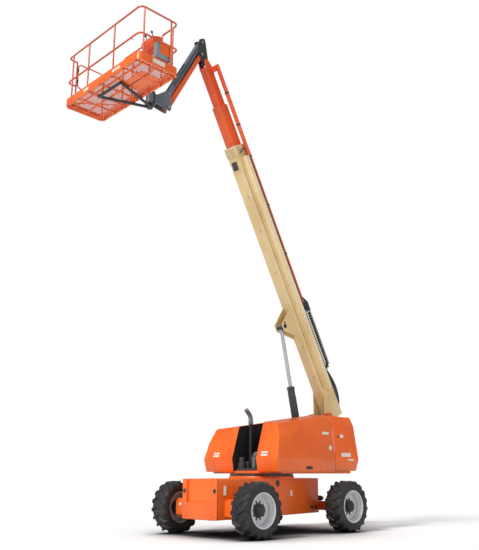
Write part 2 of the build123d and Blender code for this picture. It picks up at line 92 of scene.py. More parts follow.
def buildWear():
    # blotches fade the colour, streaks run down, edges rub bare, dust gathers near the ground, grain roughens
    group, given, out = newGroup("siteWear", [("EdgeWidth", 0.006)],
                                 ["Blotch", "Streak", "Edge", "Dust", "Grain"])
    place = objectPlace(group)
    blotch = ramped(group, noiseOn(group, place, 1.7, 4), 0.35, 0.65)
    streak = ramped(group, noiseOn(group, objectPlace(group, (9, 9, 0.7)), 1.0, 4), 0.52, 0.74)
    chips = ramped(group, noiseOn(group, place, 26, 4), 0.46, 0.62)
    bevel = group.nodes.new("ShaderNodeBevel")
    bevel.samples = 4
    group.links.new(given.outputs["EdgeWidth"], bevel.inputs["Radius"])
    dot = group.nodes.new("ShaderNodeVectorMath")
    dot.operation = "DOT_PRODUCT"
    group.links.new(bevel.outputs[0], dot.inputs[0])
    group.links.new(group.nodes.new("ShaderNodeNewGeometry").outputs["Normal"], dot.inputs[1])
    rubbed = mathNode(group, "MULTIPLY", mathNode(group, "SUBTRACT", 1.0, dot.outputs["Value"]), 7.0, True)
    patchy = mathNode(group, "ADD", mathNode(group, "MULTIPLY", chips, 0.75), 0.25)
    edge = mathNode(group, "MULTIPLY", rubbed, patchy, True)
    axes = group.nodes.new("ShaderNodeSeparateXYZ")
    group.links.new(place, axes.inputs[0])
    near = ramped(group, axes.outputs[2], 0.15, 1.25, 1.0, 0.0)
    dust = mathNode(group, "MULTIPLY", near, ramped(group, noiseOn(group, place, 5, 5), 0.38, 0.7), True)
    grain = noiseOn(group, place, 170, 2)
    for socket, value in zip(out.inputs, (blotch, streak, edge, dust, grain)):
        group.links.new(value, socket)
    return group


siteWear = buildWear()


def mixed(tree, factor, first, second):
    node = tree.nodes.new("ShaderNodeMix")
    node.data_type = "RGBA"
    tree.links.new(factor, node.inputs[0])
    for socket, value in ((node.inputs[6], first), (node.inputs[7], second)):
        if isinstance(value, tuple):
            socket.default_value = (*value, 1)
        else:
            tree.links.new(value, socket)
    return node.outputs[2]


paints, slots = {}, {}


def finish(name, slot, base, faded, edge, rough=0.4, metal=0.0, coat=0.0, streaks=0.2, wear=0.5, dust=0.3,
           bump=0.12, edgeWidth=0.005, streakColor=(0.10, 0.07, 0.05)):
    material = bpy.data.materials.new(name)
    material.use_nodes = True
    tree = material.node_tree
    shader = tree.nodes["Principled BSDF"]
    worn = tree.nodes.new("ShaderNodeGroup")
    worn.node_tree = siteWear
    worn.inputs["EdgeWidth"].default_value = edgeWidth
    color = mixed(tree, worn.outputs["Blotch"], base, faded)
    for label, amount, over in (("Streak", streaks, streakColor), ("Edge", wear, edge),
                                ("Dust", dust, (0.33, 0.24, 0.16))):
        color = mixed(tree, mathNode(tree, "MULTIPLY", worn.outputs[label], amount), color, over)
    tree.links.new(color, shader.inputs["Base Color"])
    lively = mathNode(tree, "MULTIPLY", worn.outputs["Grain"], 0.22)
    tree.links.new(mathNode(tree, "ADD", lively, rough - 0.11, True), shader.inputs["Roughness"])
    shader.inputs["Metallic"].default_value = metal
    shader.inputs["Coat Weight"].default_value = coat
    shader.inputs["Coat Roughness"].default_value = 0.18
    relief = tree.nodes.new("ShaderNodeBump")
    relief.inputs["Strength"].default_value = bump
    relief.inputs["Distance"].default_value = 0.002
    tree.links.new(worn.outputs["Grain"], relief.inputs["Height"])
    tree.links.new(relief.outputs[0], shader.inputs["Normal"])
    paints[name], slots[name] = material, slot


finish("orangePaint", "orange", (0.88, 0.145, 0.006), (0.82, 0.115, 0.005), (0.95, 0.34, 0.12), 0.36,
       coat=0.22, streaks=0.14, wear=0.4, dust=0.12)
finish("boomOrange", "orange", (0.82, 0.11, 0.016), (0.74, 0.082, 0.012), (0.90, 0.27, 0.11), 0.36, coat=0.25,
       streaks=0.12)
finish("pipeOrange", "orange", (0.74, 0.12, 0.045), (0.60, 0.09, 0.035), (0.85, 0.32, 0.18), 0.38, coat=0.2,
       streaks=0.3)
finish("trayCream", "cream", (0.92, 0.76, 0.47), (0.86, 0.68, 0.39), (0.95, 0.85, 0.62), coat=0.2,
       streaks=0.06)
finish("creamPaint", "cream", (0.80, 0.61, 0.32), (0.73, 0.53, 0.25), (0.90, 0.78, 0.52), 0.38, coat=0.25,
       streaks=0.08, streakColor=(0.35, 0.20, 0.08))
finish("blackPaint", "black", (0.022, 0.022, 0.025), (0.035, 0.035, 0.038), (0.16, 0.16, 0.17), 0.42,
       coat=0.15, streaks=0.1)
finish("slatePaint", "slate", (0.095, 0.11, 0.14), (0.13, 0.15, 0.18), (0.30, 0.32, 0.35), coat=0.2)
finish("wheelPaint", "silver", (0.66, 0.68, 0.70), (0.56, 0.57, 0.58), (0.82, 0.83, 0.84), coat=0.1,
       streaks=0.12, dust=0.08)
finish("castIron", "iron", (0.020, 0.021, 0.023), (0.034, 0.034, 0.035), (0.16, 0.16, 0.16), 0.55, metal=0.2,
       bump=0.5, dust=0.08)
finish("rubber", "tyre", (0.012, 0.012, 0.013), (0.022, 0.022, 0.022), (0.075, 0.074, 0.072), 0.6, dust=0.05,
       bump=0.35, wear=0.6, streaks=0.05, edgeWidth=0.008)
finish("chainSteel", "plastic", (0.46, 0.46, 0.41), (0.34, 0.34, 0.30), (0.68, 0.68, 0.62), 0.42, metal=0.2,
       streaks=0.25, edgeWidth=0.003)
# dark brown for the strips along the boom's lower corners: painted shade of the step between its plates
finish("grooveShadePaint", "cream", (0.36, 0.24, 0.10), (0.28, 0.18, 0.07), (0.52, 0.38, 0.2), 0.6)
finish("hoseRubber", "black", (0.02, 0.02, 0.021), (0.03, 0.03, 0.03), (0.09, 0.09, 0.09), 0.55, bump=0.3,
       edgeWidth=0.002)
finish("blackPlastic", "plastic", (0.028, 0.029, 0.031), (0.042, 0.043, 0.045), (0.14, 0.14, 0.145), 0.58,
       bump=0.4)
finish("rodChrome", "steel", (0.50, 0.55, 0.60), (0.42, 0.47, 0.53), (0.66, 0.7, 0.74), 0.24, metal=0.85,
       streaks=0.1, bump=0.03)
finish("zincSteel", "steel", (0.42, 0.42, 0.41), (0.33, 0.33, 0.32), (0.62, 0.62, 0.60), 0.36, metal=0.8,
       edgeWidth=0.002)
# near-black for the exhaust's lower part and the walls inside the bay: painted shade
finish("bayShadeBlack", "black", (0.007, 0.007, 0.008), (0.012, 0.012, 0.013), (0.04, 0.04, 0.042), 0.65,
       streaks=0.1, dust=0.02)
finish("pipeSteel", "steel", (0.27, 0.28, 0.28), (0.19, 0.19, 0.19), (0.45, 0.44, 0.42), 0.46, metal=0.6,
       streaks=0.35, streakColor=(0.16, 0.07, 0.03))
finish("paleSign", None, (0.80, 0.76, 0.70), (0.74, 0.69, 0.62), (0.62, 0.56, 0.48), 0.45, edgeWidth=0.002,
       bump=0.05)
finish("greyBox", "slate", (0.20, 0.22, 0.25), (0.26, 0.28, 0.31), (0.42, 0.44, 0.46), 0.45)
finish("redPlastic", None, (0.62, 0.06, 0.03), (0.52, 0.045, 0.025), (0.8, 0.25, 0.18), 0.42)
print("finishes built")


def surface(points, close=False):
    # a grid of points joined by quads: each row closes on itself, and close joins the last row to the first
    rows, cols = points.shape[:2]
    r = np.arange(rows if close else rows - 1)[:, None]
    c = np.arange(cols)[None, :]
    r2, c2 = (r + 1) % rows, (c + 1) % cols
    quads = np.stack([r * cols + c, r2 * cols + c, r2 * cols + c2, r * cols + c2], axis=-1).reshape(-1, 4)
    return points.reshape(-1, 3), quads.tolist()


def sideways(axis):
    # the unit axis and two unit directions square to it
    axis = np.array(axis, float) / np.linalg.norm(axis)
    other = np.array((0, 0, 1.0)) if abs(axis[2]) < 0.8 else np.array((1.0, 0, 0))
    u = np.cross(other, axis)
    u /= np.linalg.norm(u)
    return axis, u, np.cross(axis, u)


def turned(profile, origin, axis, sides=32):
    # each (radius, height) is a circle about the axis: origin + height*axis + radius*(u cos + v sin)
    axis, u, v = sideways(axis)
    profile = np.array(profile, float)
    turn = np.linspace(0, 2 * np.pi, sides, endpoint=False)
    ring = np.cos(turn)[:, None] * u + np.sin(turn)[:, None] * v
    return surface(np.array(origin) + profile[:, None, 1:2] * axis + profile[:, None, 0:1] * ring)


def capped(profile, origin, axis, sides=32):
    # a turned shape with flat ends: the profile runs in to the axis before its first and after its last point
    return turned([(0, profile[0][1]), *profile, (0, profile[-1][1])], origin, axis, sides)


def rounded(points, radius, steps=6):
    # the path's corners become arcs: a quadratic curve from radius before the corner to radius after it
    points = np.array(points, float)
    path = [points[:1]]
    t = np.linspace(0, 1, steps)[:, None]
    for before, corner, after in zip(points[:-2], points[1:-1], points[2:]):
        a, b = before - corner, after - corner
        reach = min(radius, np.linalg.norm(a) * 0.49, np.linalg.norm(b) * 0.49)
        a, b = corner + a / np.linalg.norm(a) * reach, corner + b / np.linalg.norm(b) * reach
        path.append((1 - t) ** 2 * a + 2 * t * (1 - t) * corner + t ** 2 * b)
    return np.concatenate(path + [points[-1:]])


def swept(path, radius, sides=12):
    # a circle carried along: point + radius*(u cos + v sin), u turned as little as possible at each step
    path = np.array(path, float)
    tangent = np.gradient(path, axis=0)
    tangent /= np.linalg.norm(tangent, axis=1)[:, None]
    u = [sideways(tangent[0])[1]]
    for direction in tangent[1:]:
        u.append(u[-1] - direction * (u[-1] @ direction))
        u[-1] = u[-1] / np.linalg.norm(u[-1])
    u = np.array(u)
    v = np.cross(tangent, u)
    turn = np.linspace(0, 2 * np.pi, sides, endpoint=False)
    ring = np.cos(turn)[None, :, None] * u[:, None] + np.sin(turn)[None, :, None] * v[:, None]
    ends = [np.repeat(path[None, i:i + 1], sides, 1) for i in (0, len(path) - 1)]
    return surface(np.concatenate([ends[0], path[:, None] + radius * ring, ends[1]]))


def slab(outline, push):
    # a flat outline carried along the push vector
    outline = np.array(outline, float)
    n = len(outline)
    sides = [(i, (i + 1) % n, (i + 1) % n + n, i + n) for i in range(n)]
    ends = [tuple(range(n)), tuple(range(2 * n - 1, n - 1, -1))]
    return np.concatenate([outline, outline + np.array(push)]), ends + sides


def block(x0, x1, y0, y1, z0, z1):
    return slab([(x0, y0, z0), (x1, y0, z0), (x1, y1, z0), (x0, y1, z0)], (0, 0, z1 - z0))


def sidePlate(points, y0, y1):
    return slab([(x, y0, z) for x, z in points], (0, y1 - y0, 0))


def oblong(width, height, corner, steps):
    # a flat rounded oblong: its four corner arcs, one after the other
    turn = np.linspace(0, np.pi / 2, steps)
    a, b = width / 2 - corner, height / 2 - corner
    arcs = []
    for i, (sx, sy) in enumerate(((1, 1), (-1, 1), (-1, -1), (1, -1))):
        q = turn + i * np.pi / 2
        arcs.append(np.stack([sx * a + corner * np.cos(q), sy * b + corner * np.sin(q)], -1))
    return np.concatenate(arcs)


def plate(centre, across, up, width, height, thick, corner=10):
    # a rounded oblong laid out along across and up, and carried out by its thickness
    across, up = np.array(across, float), np.array(up, float)
    across /= np.linalg.norm(across)
    up = up - across * (up @ across)
    up /= np.linalg.norm(up)
    flat = oblong(width, height, corner, 5)
    return slab(np.array(centre) + flat[:, :1] * across + flat[:, 1:] * up, np.cross(across, up) * thick)


def signAt(spot, width, height, thick=1.6, corner=10):
    # an upright plate at a (place, outward direction) pair
    place, normal = spot
    return plate(place, np.cross((0, 0, 1), normal), (0, 0, 1), width, height, thick, corner)


def bolt(place, axis, r):
    # a washer with a six-sided head on it
    return [capped([(r * 1.45, 0), (r * 1.45, r * 0.25)], place, axis, 16),
            capped([(r, r * 0.2), (r, r * 0.85), (r * 0.85, r)], place, axis, 6)]


def boltRing(middle, axis, radius, count, r):
    # bolts evenly on a circle about the axis: middle + radius*(u cos + v sin)
    axis, u, v = sideways(axis)
    shapes = []
    for turn in 2 * np.pi * np.arange(count) / count:
        shapes += bolt(middle + radius * (math.cos(turn) * u + math.sin(turn) * v), axis, r)
    return shapes


def eyeRing(middle, across, radius, thick, steps, sides):
    # a rod bent to a circle: middle + radius*(across cos + upright sin)
    turn = np.linspace(0, 2 * np.pi, steps)[:, None]
    return swept(middle + radius * (np.cos(turn) * across + np.sin(turn) * (0, 0, 1)), thick, sides)


def makePiece(name, body, paint, shapes, bevel=0, smooth=35, stands=None, slot=None):
    places, faces, start = [], [], 0
    for points, quads in shapes:
        places.append(points)
        faces += [tuple(i + start for i in face) for face in quads]
        start += len(points)
    mesh = bpy.data.meshes.new(name)
    mesh.from_pydata((np.concatenate(places) * mm).tolist(), [], faces)
    work = bmesh.new()
    work.from_mesh(mesh)
    bmesh.ops.remove_doubles(work, verts=work.verts, dist=0.02 * mm)
    bmesh.ops.dissolve_degenerate(work, edges=work.edges, dist=0.01 * mm)
    bmesh.ops.recalc_face_normals(work, faces=work.faces)
    work.to_mesh(mesh)
    work.free()
    mesh.shade_smooth()
    mesh.set_sharp_from_angle(angle=math.radians(smooth))
    mesh.materials.append(paints[paint])
    made = bpy.data.objects.new(name, mesh)
    bpy.context.collection.objects.link(made)
    if bevel:
        cut = made.modifiers.new("edges", "BEVEL")
        cut.width = bevel * mm
        cut.segments = 2
        cut.limit_method = "ANGLE"
        cut.angle_limit = math.radians(25)
    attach(made, body)
    slot = slot or slots[paint]
    if stands:
        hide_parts(stands)
    return made


def makeSet(body, **pieces):
    # several pieces on one body: name=(paint, shapes) or name=(paint, shapes, bevel)
    for name, given in pieces.items():
        makePiece(name, body, *given)


camera = {"stand": (10.454, 10.214, 1.06), "headingDeg": 226.02, "pitchDeg": 15.59, "lens": 47.0}


def placeCamera():
    heading, pitch = math.radians(camera["headingDeg"]), math.radians(camera["pitchDeg"])
    look = Vector((math.cos(heading) * math.cos(pitch), math.sin(heading) * math.cos(pitch), math.sin(pitch)))
    data = bpy.data.cameras.new("camera")
    data.sensor_fit = "VERTICAL"
    data.sensor_height = 36
    data.lens = camera["lens"]
    data.clip_end = 200
    eye = bpy.data.objects.new("camera", data)
    eye.location = camera["stand"]
    eye.rotation_euler = look.to_track_quat("-Z", "Y").to_euler()
    bpy.context.collection.objects.link(eye)
    bpy.context.scene.camera = eye


stageLook = {"floorHalf": 60, "floorColor": (0.97, 0.97, 0.97), "shadeColor": (0.01, 0.01, 0.012),
             "shadeReach": 2.2, "lift": 0.1, "worldStrength": 0.38}
lights = {"keyLight": {"power": 2.55, "toward": (0.92, 0.02, 0.78), "spreadDeg": 14},
          "fillLight": {"power": 0.6, "toward": (0.1, 0.9, 0.25), "spreadDeg": 60}}


def buildStage():
    # a flat pale sheet with a painted contact shadow: ambient occlusion darkens its colour where the machine
    # stands close; the camera sees it lifted to white
    half = stageLook["floorHalf"]
    mesh = bpy.data.meshes.new("floor")
    mesh.from_pydata([(-half, -half, 0), (half, -half, 0), (half, half, 0), (-half, half, 0)], [],
                     [(0, 1, 2, 3)])
    floor = bpy.data.objects.new("floor", mesh)
    bpy.context.collection.objects.link(floor)
    paint = bpy.data.materials.new("floorPaint")
    paint.use_nodes = True
    tree = paint.node_tree
    shader = tree.nodes["Principled BSDF"]
    shader.inputs["Roughness"].default_value = 0.95
    shader.inputs["Specular IOR Level"].default_value = 0.0
    shader.inputs["Emission Color"].default_value = (1, 1, 1, 1)
    ray = tree.nodes.new("ShaderNodeLightPath")
    near = tree.nodes.new("ShaderNodeAmbientOcclusion")
    near.samples = 12
    near.inputs["Distance"].default_value = stageLook["shadeReach"]
    # painted contact shadow: the floor's colour goes dark near the machine
    shade = ramped(tree, near.outputs["AO"], 0.30, 0.97, 0.03, 1.0)
    tree.links.new(mixed(tree, shade, stageLook["shadeColor"], stageLook["floorColor"]),
                   shader.inputs["Base Color"])
    lift = mathNode(tree, "MULTIPLY", ray.outputs["Is Camera Ray"], stageLook["lift"])
    tree.links.new(mathNode(tree, "MULTIPLY", lift, shade), shader.inputs["Emission Strength"])
    mesh.materials.append(paint)
    world = bpy.data.worlds.new("studio")
    world.use_nodes = True
    tree = world.node_tree
    light = tree.nodes["Background"]
    light.inputs["Color"].default_value = (1, 1, 1, 1)
    ray = tree.nodes.new("ShaderNodeLightPath")
    seen = mathNode(tree, "MAXIMUM", ray.outputs["Is Camera Ray"], ray.outputs["Is Transmission Ray"])
    extra = mathNode(tree, "MULTIPLY", seen, 1.0 - stageLook["worldStrength"])
    tree.links.new(mathNode(tree, "ADD", extra, stageLook["worldStrength"]), light.inputs["Strength"])
    bpy.context.scene.world = world
    for name, given in lights.items():
        sun = bpy.data.lights.new(name, "SUN")
        sun.energy = given["power"]
        sun.angle = math.radians(given["spreadDeg"])
        lamp = bpy.data.objects.new(name, sun)
        lamp.rotation_euler = Vector(given["toward"]).to_track_quat("Z", "Y").to_euler()
        bpy.context.collection.objects.link(lamp)


placeCamera()
buildStage()
bpy.context.scene.view_settings.view_transform = "Standard"
print("camera and stage built")

nodeFinish = {"blackPaint": ("slew_ring", "lift_barrel", "nose_bracket", "jib_barrel", "platform_support"),
              "castIron": ("counterweight", "engine_block", "knuckle_left", "knuckle_right"),
              "boomOrange": ("boom_mid", "boom_fly", "push_tube", "jib_lower"),
              "rodChrome": ("lift_rod", "jib_rod"), "slatePaint": ("jib_upper", "jib_foot"),
              "creamPaint": ("boom_base",),
              "trayCream": ("hose_tray",), "blackPlastic": ("tank_block",), "orangePaint": ("steer_axle",)}
for paint, names in nodeFinish.items():
    for node in names:
        nodes[node].data.materials.clear()
        nodes[node].data.materials.append(paints[paint])
print("CAD nodes painted")

tyre = {"radius": 478.5, "carcass": 448, "half": 190, "bead": 288, "lugs": 18, "lugWidth": 50, "skewDeg": 30,
        "lugStart": 14, "lugEnd": 152, "around": 612}
wheels = {"drive": 1245, "steer": -1245, "track": 1090, "axle": 480}


def tyreSurface(centre, side):
    # radius = carcass(s) + lug height; a lug is a skewed bar, from its own along and across distances
    half, body = tyre["half"], tyre["carcass"]
    corner = np.array([(tyre["bead"], half - 32), (300, half - 12), (330, half - 2), (360, half),
                       (395, half - 3), (422, half - 12), (438, half - 32), (body - 3, half - 60), (body, 0)])
    reach = np.concatenate([[0], np.cumsum(np.linalg.norm(np.diff(corner, axis=0), axis=1))])
    s = np.concatenate([np.linspace(0, reach[-2], 24), np.linspace(reach[-2], reach[-1], 15)[1:]])
    r, y = np.interp(s, reach, corner[:, 0]), np.interp(s, reach, corner[:, 1])
    r, y = np.concatenate([r, r[-2::-1]]), np.concatenate([y, -y[-2::-1]])
    turn = np.linspace(0, 2 * np.pi, tyre["around"], endpoint=False)[None, :]
    skew = math.radians(tyre["skewDeg"])
    pitch = 2 * np.pi / tyre["lugs"]
    deep = np.abs(y)[:, None]
    angle = (turn - np.where(y >= 0, 0, pitch / 2)[:, None] + pitch / 2) % pitch - pitch / 2
    height = np.zeros((len(r), tyre["around"]))
    middle = (tyre["lugStart"] + tyre["lugEnd"]) / 2 * math.sin(skew)
    for shift in (-pitch, 0, pitch):
        t = (angle + shift) * tyre["radius"] - middle
        across = t * math.cos(skew) + deep * math.sin(skew)
        along = -t * math.sin(skew) + deep * math.cos(skew)
        edge = np.clip((tyre["lugWidth"] / 2 + 4 - np.abs(across)) / 7, 0, 1)
        end = np.clip((along - tyre["lugStart"]) / 8, 0, 1) * np.clip((186 - deep) / 4, 0, 1)
        height = np.maximum(height, edge * end)
    crown = np.interp(np.abs(y), [0, 152, 178, 190], [tyre["radius"], tyre["radius"], 445, 400])[:, None]
    tall = np.where(r[:, None] > 385, np.maximum(crown - r[:, None], 0), 0)
    ridge = 3 * ((np.abs(r - 352) < 6) | (np.abs(r - 376) < 3)) * (np.abs(y) > 150)
    radius = r[:, None] + height * tall
    wide = np.clip((y + np.sign(y) * ridge)[:, None] * np.ones_like(radius), -half, half)
    x = centre[0] + radius * np.cos(-side * turn)
    z = centre[2] + radius * np.sin(-side * turn)
    return surface(np.stack([x, centre[1] + side * wide, z], -1), close=True)


rim = {"bead": 288, "face": 30, "nuts": 10, "nutCircle": 146, "hub": 98}


def rimShapes(centre, side):
    half, b, f = tyre["half"], rim["bead"], rim["face"]
    profile = [(b - 2, 34 - half), (b - 2, half - 30), (b + 12, half - 22), (b + 14, half - 14),
               (b + 10, half - 8), (b - 10, half - 9), (b - 14, half - 16), (b - 14, half - 62),
               (b - 20, half - 72), (b - 36, half - 86), (b - 40, half - 100), (b - 42, f + 12),
               (b - 52, f), (215, f - 4), (200, f + 6), (170, f + 10),
               (120, f + 10), (0, f + 10), (0, f - 12), (200, f - 14), (b - 40, f - 20), (b - 30, 60 - half),
               (b - 16, 40 - half), (b - 2, 34 - half)]
    return [turned(profile, centre, (0, side, 0), 96)]


def hubShapes(centre, side):
    # geared hub with a finned waist, end cover with screws, and the ring of wheel nuts
    f, r = rim["face"], rim["hub"]
    axis = np.array((0, side, 0))
    profile = [(0, -70), (105, -70), (105, f + 8), (124, f + 8), (124, f + 22), (r + 6, f + 30), (r, f + 45),
               (r + 4, f + 50), (r + 4, f + 66), (r, f + 70), (r - 4, f + 92), (r - 22, f + 102),
               (50, f + 104), (46, f + 112), (0, f + 113)]
    return [turned(profile, centre, axis, 48),
            *boltRing(centre + axis * (f + 9), axis, rim["nutCircle"], rim["nuts"], 14),
            *boltRing(centre + axis * (f + 100), axis, 64, rim["nuts"], 7)]


for end in ("drive", "steer"):
    for hand, side in (("left", 1), ("right", -1)):
        centre = np.array((wheels[end], side * wheels["track"], wheels["axle"]))
        name, body = f"{end}_{hand}", f"wheel_{end}_{hand}"
        makePiece(f"tyreTread_{name}", body, "rubber", [tyreSurface(centre, side)], smooth=50,
                  stands=f"tyre_{name}")
        makePiece(f"wheelDisc_{name}", body, "wheelPaint", rimShapes(centre, side), stands=f"rim_{name}")
        makePiece(f"hubGear_{name}", body, "castIron", hubShapes(centre, side))
        valve = swept([centre + (235, side * 30, 0), centre + (250, side * 75, 0)], 4, 8)
        makePiece(f"valveStem_{name}", body, "zincSteel", [valve])
print("wheels built")

# nose, fold and tail: x, half width, low edge and high edge of the hull there
chassis = {"nose": (1605, 470, 300, 1000), "fold": (650, 720, 340, 1004), "tail": (-1165, 460, 350, 1008),
           "pocket": 40, "post": 115, "pocketLow": 590, "ringR": 640, "ringTop": 1045}


def hullShapes():
    # a six-cornered plan from low edge to high edge, wider at the fold; the nose is set back by the pocket
    x, y, low, high = chassis["nose"]
    back, inner, r, top = x - chassis["pocket"], y - chassis["post"], chassis["ringR"], chassis["ringTop"]
    half = np.array([(back, y, low, high), chassis["fold"], chassis["tail"]], float)
    plan = np.concatenate([half, half[::-1] * (1, -1, 1, 1)])
    faces = slab(plan[:, :3], (0, 0, 1))[1]
    shapes = [(np.concatenate([plan[:, (0, 1, 2)], plan[:, (0, 1, 3)]]), faces)]
    shapes += [block(back - 10, x, *sorted((s * inner, s * y)), low, high) for s in (1, -1)]
    shapes.append(block(back - 10, x, -inner, inner, low, chassis["pocketLow"]))
    return shapes + [capped([(r, top - 65), (r, top - 10), (r - 12, top)], (0, 0, 0), (0, 0, 1), 72)]


def sideSpot(x, z, s, out=0.0):
    # a place on the chassis side, from fold to nose or from fold to tail, with its outward direction
    fold = chassis["fold"]
    other = chassis["nose" if x > fold[0] else "tail"]
    run, rise = other[0] - fold[0], other[1] - fold[1]
    normal = np.array((-s * rise, run, 0)) / math.hypot(run, rise) * math.copysign(s, run * s)
    return np.array((x, s * (fold[1] + (x - fold[0]) / run * rise), z)) + normal * out, normal


def chassisTrim():
    dark, pale, steel, housings, gears = [], [], [], [], []
    x, front = chassis["nose"][0], (1, 0, 0)
    box = [(1045, 360), (1100, 310), (1390, 310), (1445, 360), (1445, 600), (1390, 650), (1100, 650),
           (1045, 600)]
    for s in (1, -1):
        housings.append(sidePlate(box, s * 500, s * 845))
        gears.append(capped([(172, 845), (172, 900), (160, 905), (160, 960), (140, 975), (140, 1040)],
                            (1245, 0, 480), (0, s, 0), 40))
        gears += boltRing((1245, s * 900, 480), (0, s, 0), 155, 12, 9)
        # tie-down holes as shallow black dishes (painted shade for their dark insides), blank plates, plugs,
        # corner screws and a lashing eye
        place, normal = sideSpot(245, 920, s)
        dark.append(turned([(0, 0.8), (54, 0.8), (56, 4), (60, 4), (62, 0), (0, -10)], place, normal, 40))
        dark.append(turned([(0, 0.8), (34, 0.8), (36, 3), (41, 3), (42, 0)], (x, s * 410, 790), front, 28))
        dark += [capped([(30, 0), (30, 20), (12, 24)], *sideSpot(along, 460, s), 20)
                 for along in (-1040, -900)]
        dark.append(eyeRing((x - 10, s * 430, 345), (0, 1, 0), 30, 8, 28, 10))
        pale += [signAt(sideSpot(1450, 800, s, 0.6), 55, 160, 1.8),
                 signAt(sideSpot(-200, 735, s, 0.6), 75, 110, 1.8),
                 plate((1445.2, s * 720, 545), (0, 1, 0), (0, 0, 1), 75, 50, 1.8)]
        for y, z in ((400, 360), (440, 360), (400, 520), (440, 520)):
            steel += bolt((x, s * y, z), front, 9)
    for y in np.linspace(-300, 300, 4):
        for z in (630, 960):
            steel += bolt((x - chassis["pocket"], y, z), front, 9)
    steel += boltRing((0, 0, chassis["ringTop"]), (0, 0, 1), (chassis["ringR"] - 12) * 0.985, 36, 9)
    # drive hoses along the belly, and the steering manifold with its two cylinders behind the rear wall
    hoses = []
    for y in (-60, -20, 20, 60):
        belly = [(300, y, 325), (900, y, 318), (1150, y * 4, 318), (1200, y * 7.6, 370)]
        rear = [(-1160, y * 2.2, 860), (-1210, y * 2.2, 840), (-1220, y * 3, 720), (-1190, y * 4, 630)]
        hoses += [swept(rounded(belly, 120), 11), swept(rounded(rear, 50), 11)]
    gear = [block(-1215, -1165, 100, 360, 720, 980), block(-1240, -1165, -300, -50, 780, 940)]
    gear += [capped([(50, 0), (50, 300), (34, 310), (34, 340)], (-1245, s * 160, 620), (0, s, 0), 24)
             for s in (1, -1)]
    makePiece("axleHousing", "chassis", "orangePaint", housings, 6, stands="drive_axle")
    makeSet("chassis", axleGear=("castIron", gears), chassisEyes=("blackPaint", dark),
            chassisPlates=("paleSign", pale), chassisBolts=("orangePaint", steel),
            chassisHoses=("hoseRubber", hoses), steerGear=("blackPaint", gear, 4))


makePiece("chassisHull", "chassis", "orangePaint", hullShapes(), 8, stands="chassis_frame")
chassisTrim()
print("chassis built")

# left and right: side, bay edge, the roof's height at shoulder and bay; the leans are slopes off upright
covers = {"knuckleZ": 1365, "knuckleY": 1005, "front": 620, "rear": -1815, "shoulderY": 830, "seam": -1085,
          "low": 1125, "skin": 6, "soft": 12, "roofFallDeg": 8.2, "crest": 200, "sideLean": 0.1335,
          "sideUnder": -0.14, "noseLean": 0.31, "noseUnder": -0.17, "tailUnder": 0.03, "steep": 0.506,
          "deckTop": 1145,
          "left": (1, 465, 2003, 2045), "right": (-1, -185, 1965, 1990)}
hands = ("left", "right")


def coverPlanes(hand, rear):
    # rows: slope along x, |y| and z, and their sum on the plane; the cover lies below each sum
    c = covers
    bay, shoulder, ridge = c[hand][1:]
    slope, crest = math.tan(math.radians(c["roofFallDeg"])), c["front"] - c["crest"]
    fall, start, high = slope, crest, shoulder
    if rear:
        fall, start, high = 0, c["seam"], shoulder + (crest - c["seam"]) * slope
    lean, steep = (ridge - shoulder) / (c["shoulderY"] - abs(bay)), c["steep"]
    knuckles = [(nx, ny, nz, base + nz * c["knuckleZ"]) for nx, ny, nz, base in (
        (0, 1, c["sideUnder"], c["knuckleY"]), (0, 1, c["sideLean"], c["knuckleY"]),
        (1, 0, c["noseLean"], c["front"]), (1, 0, c["noseUnder"], c["front"]),
        (-1, 0, -c["noseLean"], -c["rear"]), (-1, 0, c["tailUnder"], -c["rear"]))]
    shoulderPlane = (steep * fall, 1, steep, c["shoulderY"] + steep * (high + fall * start))
    roofPlane = (fall, lean, 1, high + fall * start + lean * c["shoulderY"])
    return knuckles[:2] + [shoulderPlane, roofPlane] + knuckles[2:]


def podShape(hand, x0, x1, low, rear=False, wall=False):
    # a block cut by the cover's planes, open at bottom, bay side and seam; or the closed wall beside the bay
    side, near = covers[hand][0], covers[hand][0] * covers[hand][1]
    inset, y0, y1 = (20, near - 1, near + 8) if wall else (0, near, 1200)
    work = bmesh.new()
    bmesh.ops.create_cube(work, size=1)
    for v in work.verts:
        v.co = Vector([a + (b - a) * (t + 0.5) for a, b, t in zip((x0, y0, low), (x1, y1, 2700), v.co)])
    for nx, ny, nz, total in coverPlanes(hand, rear):
        n = Vector((nx, ny, nz))
        point = n * ((total - inset * n.length) / n.length_squared)
        geometry = work.verts[:] + work.edges[:] + work.faces[:]
        cut = bmesh.ops.bisect_plane(work, geom=geometry, plane_co=point, plane_no=n, clear_outer=True)
        edges = [e for e in cut["geom_cut"] if isinstance(e, bmesh.types.BMEdge)]
        if edges:
            bmesh.ops.contextual_create(work, geom=edges)
    if not wall:
        gone, seam = [], x1 if rear else x0
        for face in work.faces:
            spot = face.calc_center_median()
            if face.normal.z < -0.99 and spot.z < low + 1 or abs(spot.y - near) < 1 or abs(spot.x - seam) < 1:
                gone.append(face)
        bmesh.ops.delete(work, geom=gone, context="FACES")
    points = np.array([v.co for v in work.verts]) * (1, side, 1)
    work.verts.index_update()
    faces = [tuple(v.index for v in f.verts) for f in work.faces]
    work.free()
    return points, faces


def hollow(made, middleX):
    # the open shell's faces are turned away from its pod's middle; then it gets its wall and its soft edges
    work = bmesh.new()
    work.from_mesh(made.data)
    wrong = []
    for face in work.faces:
        spot = face.calc_center_median()
        middle = Vector((middleX, 600 if spot.y > 200 * mm else -600, 1500))
        middle.yz *= mm
        if face.normal.dot(spot - middle) < 0:
            wrong.append(face)
    bmesh.ops.reverse_faces(work, faces=wrong)
    work.to_mesh(made.data)
    work.free()
    wall = made.modifiers.new("wall", "SOLIDIFY")
    wall.thickness = covers["skin"] * mm
    wall.offset = -1
    wall.use_even_offset = True
    soften = made.modifiers.new("edges", "BEVEL")
    soften.width = covers["soft"] * mm
    soften.segments = 3
    soften.limit_method = "ANGLE"


